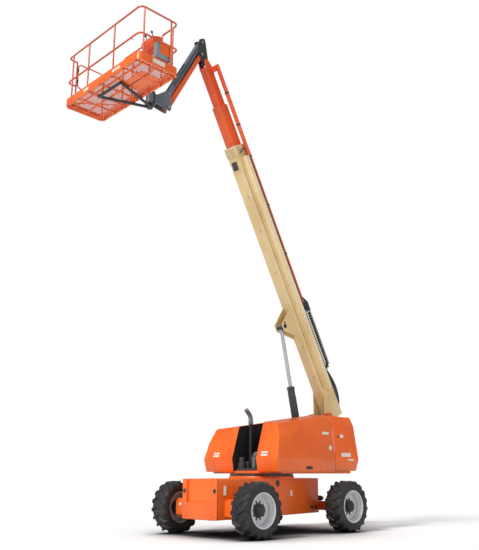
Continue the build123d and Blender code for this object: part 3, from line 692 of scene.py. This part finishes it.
for hand in hands:
    shell = podShape(hand, covers["seam"] + 8, 1000, covers["low"])
    hollow(makePiece(f"hoodShell_{hand}", f"hood_{hand}", "orangePaint", [shell], smooth=12,
                     stands=f"hood_{hand}"), -0.2)
rears = [podShape(hand, -2500, covers["seam"], covers["deckTop"], rear=True) for hand in hands]
hollow(makePiece("rearShells", "turntable", "orangePaint", rears, smooth=12, stands="rear_covers"), -1.3)

deck = {"front": 550, "rear": -1730, "half": 940, "low": 1095, "top": 1145, "towerY": 175, "towerT": 25,
        "boomY": 100}


def deckShapes():
    # the plan carried up, two uprights with bosses for the boom's pivot and two ears for the cylinder
    front, rear, half, low, top, middle = (deck[k] for k in ("front", "rear", "half", "low", "top", "boomY"))
    plan = [(front, -450), (front, 450), (420, half), (rear + 120, half), (rear, half - 120),
            (rear, 120 - half), (rear + 120, -half), (420, -half)]
    shapes = [slab([(x, y, low) for x, y in plan], (0, 0, top - low)),
              block(rear + 60, rear + 80, -75, 275, top, 1700)]
    upright = [(-700, top), (-1560, 2315), (-1740, 2350), (-1860, 2350), (-1910, 2285), (rear, top)]
    ear = [(-1240, top), (-1020, top), (-1070, 1275), (-1190, 1275)]
    for s in (1, -1):
        inner = middle + s * deck["towerY"]
        shapes += [sidePlate(upright, inner, inner + s * deck["towerT"]),
                   sidePlate(ear, middle + s * 80, middle + s * 105),
                   capped([(70, 0), (70, 35), (62, 40)], (-1800, inner, 2255), (0, s, 0), 36)]
    return shapes


makePiece("deckFrame", "turntable", "orangePaint", deckShapes(), 4, stands="turntable_deck")
pins = [capped([(34, -235), (38, -230), (38, 230), (34, 235)], (-1800, 100, 2255), (0, 1, 0), 32),
        capped([(30, -118), (30, 118)], (-1130, 100, 1215), (0, 1, 0), 28)]
# the closed walls beside the bay are near-black: painted shade inside the bay
shadeWalls = [podShape(hand, covers["seam"] + 30, 1000, covers["deckTop"], wall=True) for hand in hands]
makeSet("turntable", pivotPins=("zincSteel", pins), bayWalls=("bayShadeBlack", shadeWalls))

bay = {"pipe": (170, -120), "pipeR": 44, "floor": 1145, "fins": 12, "finPitch": 34, "hoses": 7}


def bayShapes():
    # what shows between the covers: cabinet, filter, tanks, and motor, bulkhead and fins beside the lane
    low, up = bay["floor"], (0, 0, 1)
    shapes = [sidePlate([(190, low), (420, low), (420, 1400), (340, 1500), (190, 1500)], 140, 400),
              block(50, 160, 180, 440, 1500, 1900), block(440, 520, -160, 440, low, 1190),
              capped([(85, 0), (85, 140), (60, 150), (60, 250), (30, 260)], (395, -135, low), up, 32),
              capped([(45, 0), (50, 10), (50, 160), (30, 180)], (300, -75, low), up, 24)]
    for lane, motor, bulkhead, fin0, fin1 in ((-30, -300, -320, -280, -50), (230, 460, 480, 250, 440)):
        shapes += [block(-550, -150, lane, motor, low, 1620), block(-620, -580, lane, bulkhead, low, 1860)]
        for z in 1200 + bay["finPitch"] * np.arange(bay["fins"]):
            shapes.append(block(-160, -130, fin0, fin1, z, z + 12))
    return shapes


def bayTrim():
    (x, y), r, low = bay["pipe"], bay["pipeR"], bay["floor"]
    # the exhaust's part inside the bay is near-black: painted shade; bare steel only above the covers
    shadedPipe = swept([(x, y, low), (x, y, 1500), (x, y, 2060)], r * 0.9, 24)
    makePiece("exhaustInShade", "turntable", "bayShadeBlack", [shadedPipe], stands="exhaust_pipe")
    tip = [swept(rounded([(x, y, 2040), (x, y, 2200), (x + 130, y, 2315)], 90, 8), r, 28),
           turned([(0, 0), (52, 0), (52, 18), (44, 20)], (x, y, 2060), (0, 0, 1), 28)]
    makePiece("exhaustTip", "turntable", "pipeSteel", tip)
    makePiece("bayGear", "turntable", "blackPlastic", bayShapes(), 4, slot="black")
    hoses = []
    for i in range(bay["hoses"]):
        lane, lift = -300 + 30 * i if i < 4 else 155 + 30 * i, i / (bay["hoses"] - 1)
        route = [(450, lane, 1200), (300 + 30 * i, lane, 1420 + 50 * lift), (50, lane, 1620 + 100 * lift),
                 (-450, lane, 1750 - 40 * i), (-750, lane, 1500)]
        hoses.append(swept(rounded(route, 180, 8), 12, 10))
    lid = [plate((420.5, 270, 1300), (0, 1, 0), (0, 0, 1), 190, 200, 4),
           plate((385, 270, 1455), (0, 1, 0), (-0.62, 0, 0.78), 180, 90, 4)]
    knobs = [capped([(11, 0), (11, 12), (7, 16)], (386.5, 200 + 45 * i, 1457), (0.78, 0, 0.62), 16)
             for i in range(4)]
    makeSet("turntable", bayHoses=("hoseRubber", hoses), groundPanel=("slatePaint", lid),
            groundKnobs=("redPlastic", knobs))


bayTrim()


def coverSpot(hand, x, z, out=1.2):
    # a place on a cover's outer side with its outward direction: |y| = knuckleY - lean (z - knuckleZ)
    side, rise = covers[hand][0], z - covers["knuckleZ"]
    lean = covers["sideLean" if rise > 0 else "sideUnder"]
    normal = np.array((0, side, lean)) / math.hypot(1, lean)
    return np.array((x, side * (covers["knuckleY"] - lean * rise), z)) + normal * out, normal


def coverTrim():
    pale, dark, steel = [], [], []
    lean = covers["noseLean"]
    ahead = np.array((1, 0, lean)) / math.hypot(1, lean)
    for hand in hands:
        side, body = covers[hand][0], f"hood_{hand}"
        signs = [signAt(coverSpot(hand, -950, 1560), 85, 130), signAt(coverSpot(hand, -860, 1860), 200, 60)]
        for z in (1475, 1425):
            place = np.array((covers["front"] - lean * (z - covers["knuckleZ"]), side * 660, z)) + ahead * 1.2
            signs.append(plate(place, (0, 1, 0), np.cross(ahead, (0, 1, 0)), 170, 35, 1.6, 5))
        place, normal = coverSpot(hand, -300, 1200)
        latch = [signAt((place, normal), 170, 55, 12), signAt((place + normal * 12, normal), 100, 22, 8, 8)]
        screws = []
        for x in np.linspace(-980, 420, 7):
            screws += bolt(*coverSpot(hand, x, 1150, 0), 6)
        makePiece(f"hoodPlates_{hand}", body, "paleSign", signs)
        makePiece(f"hoodLatch_{hand}", body, "blackPaint", latch, 2)
        makePiece(f"hoodScrews_{hand}", body, "zincSteel", screws)
        for x, z, wide, tall in ((-1360, 1810, 100, 90), (-1420, 1440, 300, 110), (-1560, 1360, 200, 30)):
            pale.append(signAt(coverSpot(hand, x, z), wide, tall))
        dark += [signAt(coverSpot(hand, -1240, 1810), 45, 45, 6),
                 capped([(45, 0), (45, 10), (35, 16)], (-1800, side * 620, 1620), (-1, 0, 0.2), 28)]
        for z in (1200, 1600, 1950):
            steel += bolt(*coverSpot(hand, -1130, z, 0), 7)
    # louvres high on the right hood: bars pressed outwards
    louvres = [signAt(coverSpot("right", 45 * i - 20, 1720, 0), 18, 200, 6, 8) for i in range(9)]
    makePiece("hoodLouvres_right", "hood_right", "blackPaint", louvres, 2)
    makeSet("turntable", rearPlates=("paleSign", pale), rearLatches=("blackPaint", dark, 2),
            rearScrews=("zincSteel", steel))


coverTrim()
print("turntable built")

boom = {"pivotX": -1800, "pivotZ": 2255, "tiltDeg": 61.5, "axisUp": 300, "midY": 100, "baseWide": 295,
        "baseDeep": 350}
tilt = math.radians(boom["tiltDeg"])
alongB, upB = np.array((math.cos(tilt), 0, math.sin(tilt))), np.array((-math.sin(tilt), 0, math.cos(tilt)))
half, deep = boom["baseWide"] / 2, boom["baseDeep"] / 2


def onBoom(u, w, y=0.0):
    # a place on the boom: u along it from the pivot, w square to it from its middle, y from its middle plane
    pivot = np.array((boom["pivotX"], boom["midY"] + y, boom["pivotZ"]))
    return pivot + u * alongB + (w + boom["axisUp"]) * upB


def boomSide(outline, y, thick):
    return slab([onBoom(u, w, y) for u, w in outline], (0, thick, 0))


def boomBar(u0, u1, w0, w1, y, thick):
    return boomSide([(u0, w0), (u1, w0), (u1, w1), (u0, w1)], y, thick)


chain = {"pitch": 56, "tall": 38, "wide": 76, "cheek": 7, "bend": 130, "y": 196.5, "lowU": 1080,
         "innerW": -10, "inner": 19, "outer": 21, "turns": 5, "hoses": (-24, -8, 8, 24)}


def linkShapes(u, w, angle):
    # one link: two cheeks with their rivets and two bars, turned by the angle in the boom's side plane
    c, s = math.cos(angle), math.sin(angle)
    a, b, cheek, low = chain["pitch"] / 2, chain["tall"] / 2, chain["cheek"], chain["y"] - chain["wide"] / 2

    def placed(outline, y):
        return [onBoom(u + p * c - q * s, w + p * s + q * c, y) for p, q in outline]

    outline = [(-a, -b * 0.6), (-a * 0.6, -b), (a * 0.8, -b), (a * 1.08, -b * 0.5), (a * 1.08, b * 0.5),
               (a * 0.8, b), (-a * 0.6, b), (-a, b * 0.6)]
    shapes = [slab(placed([(-8, q), (8, q), (8, q + 4), (-8, q + 4)], low), (0, chain["wide"], 0))
              for q in (2 - b, b - 6)]
    for y in (low, low + chain["wide"] - cheek):
        shapes += [slab(placed(outline, y), (0, cheek, 0)),
                   capped([(8, -1.2), (8, cheek + 1.2)], placed([(a * 0.9, 0)], y)[0], (0, 1, 0), 10)]
    return shapes


def chainPath():
    # centre line as (u, w, angle): up the inner run, half a turn at the low end, and up the outer run
    low, inside, bend, pitch = (chain[k] for k in ("lowU", "innerW", "bend", "pitch"))
    steps = [(low + (i + 0.5) * pitch, inside, math.pi) for i in range(chain["inner"])][::-1]
    for a in math.pi * (np.arange(chain["turns"]) + 0.5) / chain["turns"]:
        steps.append((low - bend * math.sin(a), inside + bend * (1 - math.cos(a)), math.pi - a))
    return steps + [(low + (i + 0.5) * pitch, inside + 2 * bend, 0.0) for i in range(chain["outer"])]


links = [shape for step in chainPath() for shape in linkShapes(*step)]
hoses = [swept([onBoom(u, w, chain["y"] + off) for u, w, angle in chainPath()], 7.5, 8)
         for off in chain["hoses"]]
makeSet("boom_base", energyChain=("chainSteel", links), chainHoses=("hoseRubber", hoses))
anchor = [boomSide([(2260, 228), (2480, 100), (2620, 125), (2600, 170), (2460, 272), (2260, 272)],
                   chain["y"] - 46, 92)]
makePiece("chainAnchor", "boom_fly", "blackPaint", anchor, 4)

rearCover = {"low": 20, "long": 980, "lift": 16, "bulge": 165, "skin": 8, "steps": 26,
             "ribs": (0.2, 0.4, 0.6, 0.8)}


def rearCoverShapes():
    # a bowed sheet: w = deep + lift + bulge*sin(pi a^0.8)^0.75, a from 0 to 1 along it; flanges and ribs
    def bow(a):
        rise = rearCover["lift"] + rearCover["bulge"] * math.sin(math.pi * a ** 0.8) ** 0.75
        return rearCover["low"] + rearCover["long"] * a, deep + rise

    outer = [bow(a) for a in np.linspace(0, 1, rearCover["steps"])]
    inner = [(u, max(w - rearCover["skin"], deep + 10)) for u, w in outer[::-1]]
    flange = [(20, deep + 4)] + outer[1:-1] + [(1000, deep + 4)]
    shapes = [boomSide(outer + inner, -115, 230), boomSide(flange, -120, 6), boomSide(flange, 112, 6)]
    for u, w in map(bow, rearCover["ribs"]):
        rib = [(u - 10, w - 4), (u + 15, w - 4), (u + 13, w + 5), (u - 8, w + 5)]
        shapes.append(boomSide(rib, -100, 200))
    return shapes


def pivotHoses():
    hoses = []
    for y in (-80, -40, 0, 40, 80):
        lower = [onBoom(u, w, y)
                 for u, w in ((120, deep + 50), (-20, deep + 45), (-85, deep - 20), (-90, -20), (-40, -160))]
        upper = [onBoom(1020, deep + 20, y), onBoom(1200, deep + 18, y),
                 onBoom(1350, deep + 18, y * 0.5 + 120)]
        hoses += [swept(rounded(lower, 70, 8), 13, 10), swept(rounded(upper, 60), 9, 8)]
    return hoses


def trayTrim():
    # the tray's outer wall with a dark strip of links above it, and lines in straps
    strip = [boomBar(u, u + 47, 62, 98, 254, 5.5) for u in 1020 + 56.5 * np.arange(85)]
    lines = [swept([onBoom(u, deep - down, half + out) for u in (start, 5860)], r, 10)
             for start, down, out, r in ((1200, 30, 12, 9), (2350, 55, 10, 6))]
    straps = [boomBar(u, u + 30, deep - 75, deep - 12, half + 0.5, 22) for u in np.arange(1500, 5800, 620)]
    wall = [boomBar(560, 5840, -40, 58, 253.5, 5)]
    makeSet("boom_base", trayLinks=("blackPlastic", strip), trayWall=("trayCream", wall, 1),
            trayHoses=("hoseRubber", lines), trayStraps=("creamPaint", straps, 2))


def sectionScrews(spots, offsets, down, out, above=False):
    # screws through a section's walls near its end: below, at both sides and, on the base's collar, above
    shapes = []
    for u in spots:
        for q in offsets:
            shapes += bolt(onBoom(u, -down, q), -upB, 8) + (bolt(onBoom(u, down, q), upB, 8) if above else [])
            for s in (1, -1):
                shapes += bolt(onBoom(u, q, s * out), (0, s, 0), 8)
    return shapes


lift = {"foot": (-1130, 100, 1215), "headU": 2210, "headW": -551, "radius": 76, "gland": 1655, "ported": 200}
hoseTube = {"w": 134, "y": 208.5, "radius": 42, "low": 2500, "high": 7835,
            "clamps": (2560, 3600, 4700, 5800, 6500, 7200)}


def boomTrim():
    # black pads and the arch at the boom's end, screws, weld beads round the collar, painted shade lines
    # along the lower corners and blank plates
    turn = np.linspace(0, math.pi, 14)
    arch = [onBoom(5930 + 75 * math.sin(a), 30 - 90 * math.cos(a), half + 45) for a in turn]
    dark = [boomBar(5620, 5800, -deep - 13, 1 - deep, -70, 140),
            boomBar(5600, 5800, -120, -20, -half - 13, 13.5), swept(arch, 14, 12)]
    steel = sectionScrews((5950, 6000, 6050), (-100, -40, 40, 100), deep + 13, half + 13, above=True)
    for u in (900, 1600, 3300, 4250, 5000):
        steel += bolt(onBoom(u, -deep, 50), -upB, 12) + bolt(onBoom(u, -90, -half), (0, -1, 0), 12)
    a, b, c = half + 11, deep + 11, 30
    ring = [(b, c - a), (b, a - c), (b - c, a), (c - b, a), (-b, a - c), (-b, c - a), (c - b, -a),
            (b - c, -a), (b, c - a)]
    beads = [swept([onBoom(u, w, y) for w, y in ring], 5, 8) for u in (5918, 6112)]
    for s in (1, -1):
        cheek = [onBoom(u, w, s * (half + 18)) for u, w in ((530, 150), (500, -120), (70, -360))]
        beads.append(swept(cheek, 5, 8))
    # thin dark strips along the lower corners: painted shade where the side plate steps in
    shadeLines = [boomSide([(620, -135), (5580, -135), (5600, -118), (600, -118)], y, 2.5)
             for y in (half + 0.5, -half - 2.5)]
    pale = [plate(onBoom(u, w, -half - 0.6), -alongB, upB, wide, tall, 1.4)
            for u, w, wide, tall in ((4900, 20, 420, 90), (1300, 0, 300, 100))]
    # keepers of the cylinder's upper pin
    u, w = lift["headU"], lift["headW"]
    strap = [(u + 20, w - 20), (u + 100, w + 30), (u + 85, w + 55), (u, w + 12)]
    keepers = [boomSide(strap, s * 116, s * 6) for s in (1, -1)]
    keepers += [capped([(42, 113), (42, 124), (34, 130)], onBoom(u, w), (0, s, 0), 28) for s in (1, -1)]
    makeSet("boom_base", boomPads=("blackPaint", dark, 3), boomScrews=("zincSteel", steel),
            boomBeads=("creamPaint", beads), boomSeams=("grooveShadePaint", shadeLines), boomPlates=("paleSign", pale),
            liftPinKeepers=("blackPaint", keepers, 2))
    makePiece("midScrews", "boom_mid", "zincSteel", sectionScrews((6840, 6900, 6960), (-60, 60), 135, 120))
    makePiece("flyScrews", "boom_fly", "zincSteel", sectionScrews((7700, 7760, 7820), (-60, 60), 103, 98))
    # the tube that carries the hoses up beside the sections, with its bracket on the last one
    w, y, r = hoseTube["w"], hoseTube["y"], hoseTube["radius"]
    tube = [swept([onBoom(hoseTube["low"], w, y), onBoom(hoseTube["high"], w, y)], r, 28),
            boomBar(7720, 7820, 30, 140, 97, 100), boomBar(7700, 7840, -60, 90, 98, 10)]
    makePiece("hoseTube", "boom_fly", "boomOrange", tube, 3, stands="push_tube")
    band = [(r - 0.5, 0), (r + 7, 0), (r + 7, 30), (r - 0.5, 30)]
    clamps = [turned(band, onBoom(u, w, y), alongB, 28) for u in hoseTube["clamps"]]
    makePiece("tubeClamps", "boom_fly", "blackPaint", clamps)


def liftTrim():
    # gland screws, wiper and steel lines on the barrel, and the dark block below the rod's eye
    foot, head = np.array(lift["foot"]), onBoom(lift["headU"], lift["headW"])
    r, gland = lift["radius"], lift["gland"]
    axis = (head - foot) / np.linalg.norm(head - foot)
    out = np.cross(axis, (0, 1, 0))
    lines = []
    for y in (20, -20):
        route = [foot + axis * far + out * (r + off) + (0, y, 0)
                 for far, off in ((lift["ported"], 24), (gland - 220, 14), (gland - 120, -6))]
        lines.append(swept(rounded(route, 50), 8, 10))
    corners = [head + axis * p + out * q + (0, -62, 0)
               for p, q in ((-66, -60), (12, -60), (12, 60), (-66, 60))]
    makePiece("liftRodHead", "lift_rod", "blackPaint", [slab(corners, (0, 124, 0))], 5)
    wiper = capped([(r * 0.72, gland), (r * 0.70, gland + 14), (r * 0.55, gland + 18)], foot, axis, 32)
    makeSet("lift_barrel", liftScrews=("zincSteel", boltRing(foot + axis * gland, axis, r - 6, 8, 7)),
            liftLines=("pipeSteel", lines), liftWiper=("blackPlastic", [wiper]))


makeSet("boom_base", rearCover=("blackPlastic", rearCoverShapes(), 2),
        pivotHoses=("hoseRubber", pivotHoses()))
trayTrim()
boomTrim()
liftTrim()
print("boom built")

deckPlan = {"x": 3790, "y": 100, "wide": 870, "long": 2400, "corner": 90, "floor": 7895, "curb": 150,
            "sheet": 6, "meshPitch": 34, "meshBar": 4.8, "beams": 7, "rails": 3}


def deckEdges(inset):
    # x and y of the platform's outer edges, moved in by the inset
    a, b = deckPlan["wide"] / 2 - inset, deckPlan["long"] / 2 - inset
    return deckPlan["x"] - a, deckPlan["x"] + a, deckPlan["y"] - b, deckPlan["y"] + b


def loopAt(inset, z):
    # the platform's rounded outline at a height, as one row of points
    flat = oblong(deckPlan["wide"] - 2 * inset, deckPlan["long"] - 2 * inset, deckPlan["corner"] - inset, 8)
    return np.concatenate([flat + (deckPlan["x"], deckPlan["y"]), np.full((len(flat), 1), z)], 1)


def floorShapes():
    # the outline's loops joined row by row make curb and rim; beams, rails and two slanted bars lie below
    z, t, middle = deckPlan["floor"], deckPlan["sheet"], deckPlan["y"]
    top = z + deckPlan["curb"]
    rows = ((0, z), (0, top - 4), (2, top), (t - 2, top), (t, top - 4), (t, z + 6), (46, z + 6), (46, z))
    shapes = [surface(np.stack([loopAt(*row) for row in rows]), close=True)]
    x0, x1, y0, y1 = deckEdges(0)
    for y in np.linspace(y0 + 110, y1 - 110, deckPlan["beams"]):
        shapes.append(block(x0 + 4, x1 - 4, y - 14, y + 14, z, z + 22))
    for x in np.linspace(x0 + 160, x1 - 160, deckPlan["rails"]):
        shapes.append(block(x - 10, x + 10, y0 + 4, y1 - 4, z + 4, z + 26))
    for s in (350, -350):
        far = s / 350 * 950
        bar = [(x0 + 50, middle + s), (x0 + 70, middle + s), (x1 - 50, middle + far), (x1 - 70, middle + far)]
        shapes.append(slab([(x, y, z + 2) for x, y in bar], (0, 0, 18)))
    return shapes + [block(x0 + 200, x1 - 300, middle + 280, middle + 880, z + 4, z + 9)]


def meshShapes():
    # expanded sheet: two crossing families of thin slanted strips, each strip one flat bar
    x0, x1, y0, y1 = deckEdges(6)
    z, reach, bar = deckPlan["floor"] + 28, (x1 - x0) / 2, deckPlan["meshBar"]
    shapes = []
    for mirrored, thick in ((False, 3), (True, 4.5)):
        for start in np.arange(y0 - reach, y1, deckPlan["meshPitch"]):
            low, high = max(start, y0 + 50), min(start + reach, y1 - 50)
            if high - low < 30:
                continue
            a, b = x0 + (low - start) * 2, x0 + (high - start) * 2
            if mirrored:
                a, b = x0 + x1 - a, x0 + x1 - b
            shapes.append(slab([(a, low - bar, z), (b, high - bar, z), (b, high + bar, z), (a, low + bar, z)],
                               (0, 0, thick)))
    return shapes


makePiece("platformTray", "platform", "orangePaint", floorShapes(), stands="platform_deck")
makePiece("platformMesh", "platform", "pipeOrange", meshShapes())

rails = {"top": 1050, "mid": 525, "foot": 40, "pipe": 17, "post": 15, "inset": 21.3, "bend": 110,
         "raised": 55, "desk": 525, "deskHalf": 175, "gateX": 4006, "gateR": 13, "gateW": 579, "entryX": 3398}
ax, bx, ay, by = deckEdges(rails["inset"])
top, mid, foot = (deckPlan["floor"] + rails[level] for level in ("top", "mid", "foot"))
desk = deckPlan["y"] + rails["desk"]


def railShapes():
    # pipes along the outline at two levels, posts up to them, and the raised pipe beside the desk
    middle, pipe, post, jamb = deckPlan["y"], rails["pipe"], rails["post"], rails["gateX"] + 16
    near, far = desk - rails["deskHalf"] - 15.3, desk + rails["deskHalf"] + 15.3
    bend, raised, entry = middle - 520, top + rails["raised"], rails["entryX"]
    shapes = []
    for start, level in ((far, top), (by - 150, mid)):
        loop = [(ax, start, level), (ax, by, level), (bx, by, level), (bx, ay, level), (jamb, ay, level)]
        shapes.append(swept(rounded(loop, rails["bend"], 8), pipe, 14))
    shapes += [swept(rounded([(ax, bend, foot), (ax, bend, raised), (ax, near, raised)], 80, 8), post, 14),
               swept(rounded([(entry, ay, top), (ax, ay + 30, top), (ax, bend, top)], 50, 8), pipe, 14)]
    screwed = ((bx, ay + 175), (bx, middle - 445), (bx, middle + 385), (bx - 77, by))
    for x, y in screwed + ((jamb, ay), (ax, far), (ax, by - 150), (ax + 155, by), (entry, ay)):
        shapes.append(swept([(x, y, foot), (x, y, top)], post, 14))
    for y in (middle - 200, near):
        shapes.append(swept([(ax, y, foot), (ax, y, raised)], post, 14))
    steel = []
    for x, y in screwed:
        out = np.array((1, 0, 0) if x == bx else (0, 1, 0))
        for z in (80, 120):
            steel += bolt(np.array((x, y, deckPlan["floor"] + z)) + out * (rails["inset"] - 0.5), out, 4)
    makePiece("railScrews", "platform", "zincSteel", steel)
    makePiece("railHoops", "platform", "pipeOrange", shapes, stands="platform_rails")
    eyes = [eyeRing((bx - 30, middle + off, mid), (1, 0, 0), 22, 5, 24, 8) for off in (-900, 900)]
    makePiece("lanyardEyes", "platform", "zincSteel", eyes)


def gateShapes():
    x, r, low, high = rails["gateX"] - rails["gateR"], rails["gateR"], mid - 20, top - 25
    far = x - rails["gateW"]
    loop = [(x, ay, mid + 200), (x, ay, high), (far, ay, high), (far, ay, low), (x, ay, low),
            (x, ay, mid + 200)]
    makePiece("gateHoop", "gate", "pipeOrange", [swept(rounded(loop, 90, 8), r, 14)], stands="gate")
    hinges = [capped([(17, -30), (17, 30)], (x, ay, z), (0, 0, 1), 18) for z in (low + 140, high - 140)]
    makePiece("gateHinges", "gate", "blackPaint", hinges)


control = {"slope": (155, -60), "lever": [(30, 0), (26, 12), (17, 30), (9, 40), (7, 85)],
           "knob": [(0, 80), (14, 82), (21, 100), (19, 122), (10, 132), (0, 133)],
           "stop": [(0, 0), (12, 0), (12, 14), (22, 16), (22, 26), (16, 31), (0, 32)],
           "toggle": [(0, 0), (6, 0), (5, 6), (2.5, 7), (3, 18), (0, 19)]}


def controlShapes():
    # the desk's side outline carried across; what stands on its slanted face turns about the face's normal
    side = [(-15, -290), (150, -290), (215, -190), (215, -90), (60, -30), (-15, -30)]
    side = [(ax + x, top + z) for x, z in side]
    body = [sidePlate(side, desk - rails["deskHalf"], desk + rails["deskHalf"])]
    makePiece("controlDesk", "platform", "boomOrange", body, 12, stands="console")
    run, fall = np.array(control["slope"]) / math.hypot(*control["slope"])
    slope, normal = np.array((run, 0, fall)), np.array((-fall, 0, run))
    middle = np.array((ax + 137, desk, top - 60))
    face = [plate(middle + normal, (0, 1, 0), -slope, 310, 135, 3, 15)]
    middle = middle + normal * 3
    dark = []
    for off in (-95, 95):
        dark += [capped(control["lever"], middle + (0, off, 0), normal, 24),
                 turned(control["knob"], middle + (0, off, 0), normal, 24)]
    steel = [turned(control["toggle"], middle + slope * 45 + (0, 24 * k - 60, 0), normal, 12)
             for k in range(6)]
    cable = [(ax + 50, desk - 100, top - 290), (ax + 50, desk - 100, 8300), (ax + 20, desk - 120, 8100),
             (ax + 20, desk - 300, 7940), (ax + 50, 120, 7930)]
    makeSet("platform", controlFace=("blackPlastic", face), controlLevers=("blackPlastic", dark),
            controlStop=("redPlastic", [turned(control["stop"], middle, normal, 24)]),
            controlToggles=("zincSteel", steel),
            controlCable=("hoseRubber", [swept(rounded(cable, 80, 8), 12, 10)]))


def boxShapes():
    outside = by - 17.3
    box = [block(ax + 140, ax + 435, outside - 116, outside - 6, mid - 310, mid)]
    makePiece("sideBox", "platform", "greyBox", box, 10, stands="tool_box")
    face = [block(ax + 156, ax + 375, outside - 6.5, outside, mid - 210, mid - 8)]
    signs = [plate((3800, 1300.6, 7970), (-1, 0, 0), (0, 0, 1), 260, 85, 1.4)]
    signs += [plate((4225.2, y, 7970), (0, 1, 0), (0, 0, 1), wide, 50, 1.4)
              for y, wide in ((620, 240), (-350, 160))]
    makeSet("platform", sideBoxFace=("orangePaint", face, 2), kickSign=("paleSign", signs))


jib = {"top": (1860, 100, 9800), "foot": (2688, 100, 8256), "linkGap": 280, "rotator": (3086, 100, 8180)}


def jibTrim():
    # pin keepers at the bracket and the foot, hoses held along the upper link, the rotator's screws
    top, foot = np.array(jib["top"]), np.array(jib["foot"])
    for name, body, place in (("nosePins", "nose", top), ("footPins", "jib_foot", foot)):
        pins = [capped([(30, 90), (30, 98), (24, 104)], place - (0, 0, down), (0, s, 0), 24)
                for down in (0, jib["linkGap"]) for s in (1, -1)]
        makePiece(name, body, "zincSteel", pins)
    along = (foot - top) / np.linalg.norm(foot - top)
    lines = [swept(rounded([top + along * far + (0, y, 0) for far in (250, 400, 1450)], 50), 9, 10)
             for y in (68, -68)]
    makePiece("jibHoses", "jib_upper", "hoseRubber", lines)
    makePiece("rotatorScrews", "platform", "zincSteel", boltRing(jib["rotator"], (0, 0, 1), 75, 8, 8))


railShapes()
gateShapes()
controlShapes()
boxShapes()
jibTrim()
print("platform built")
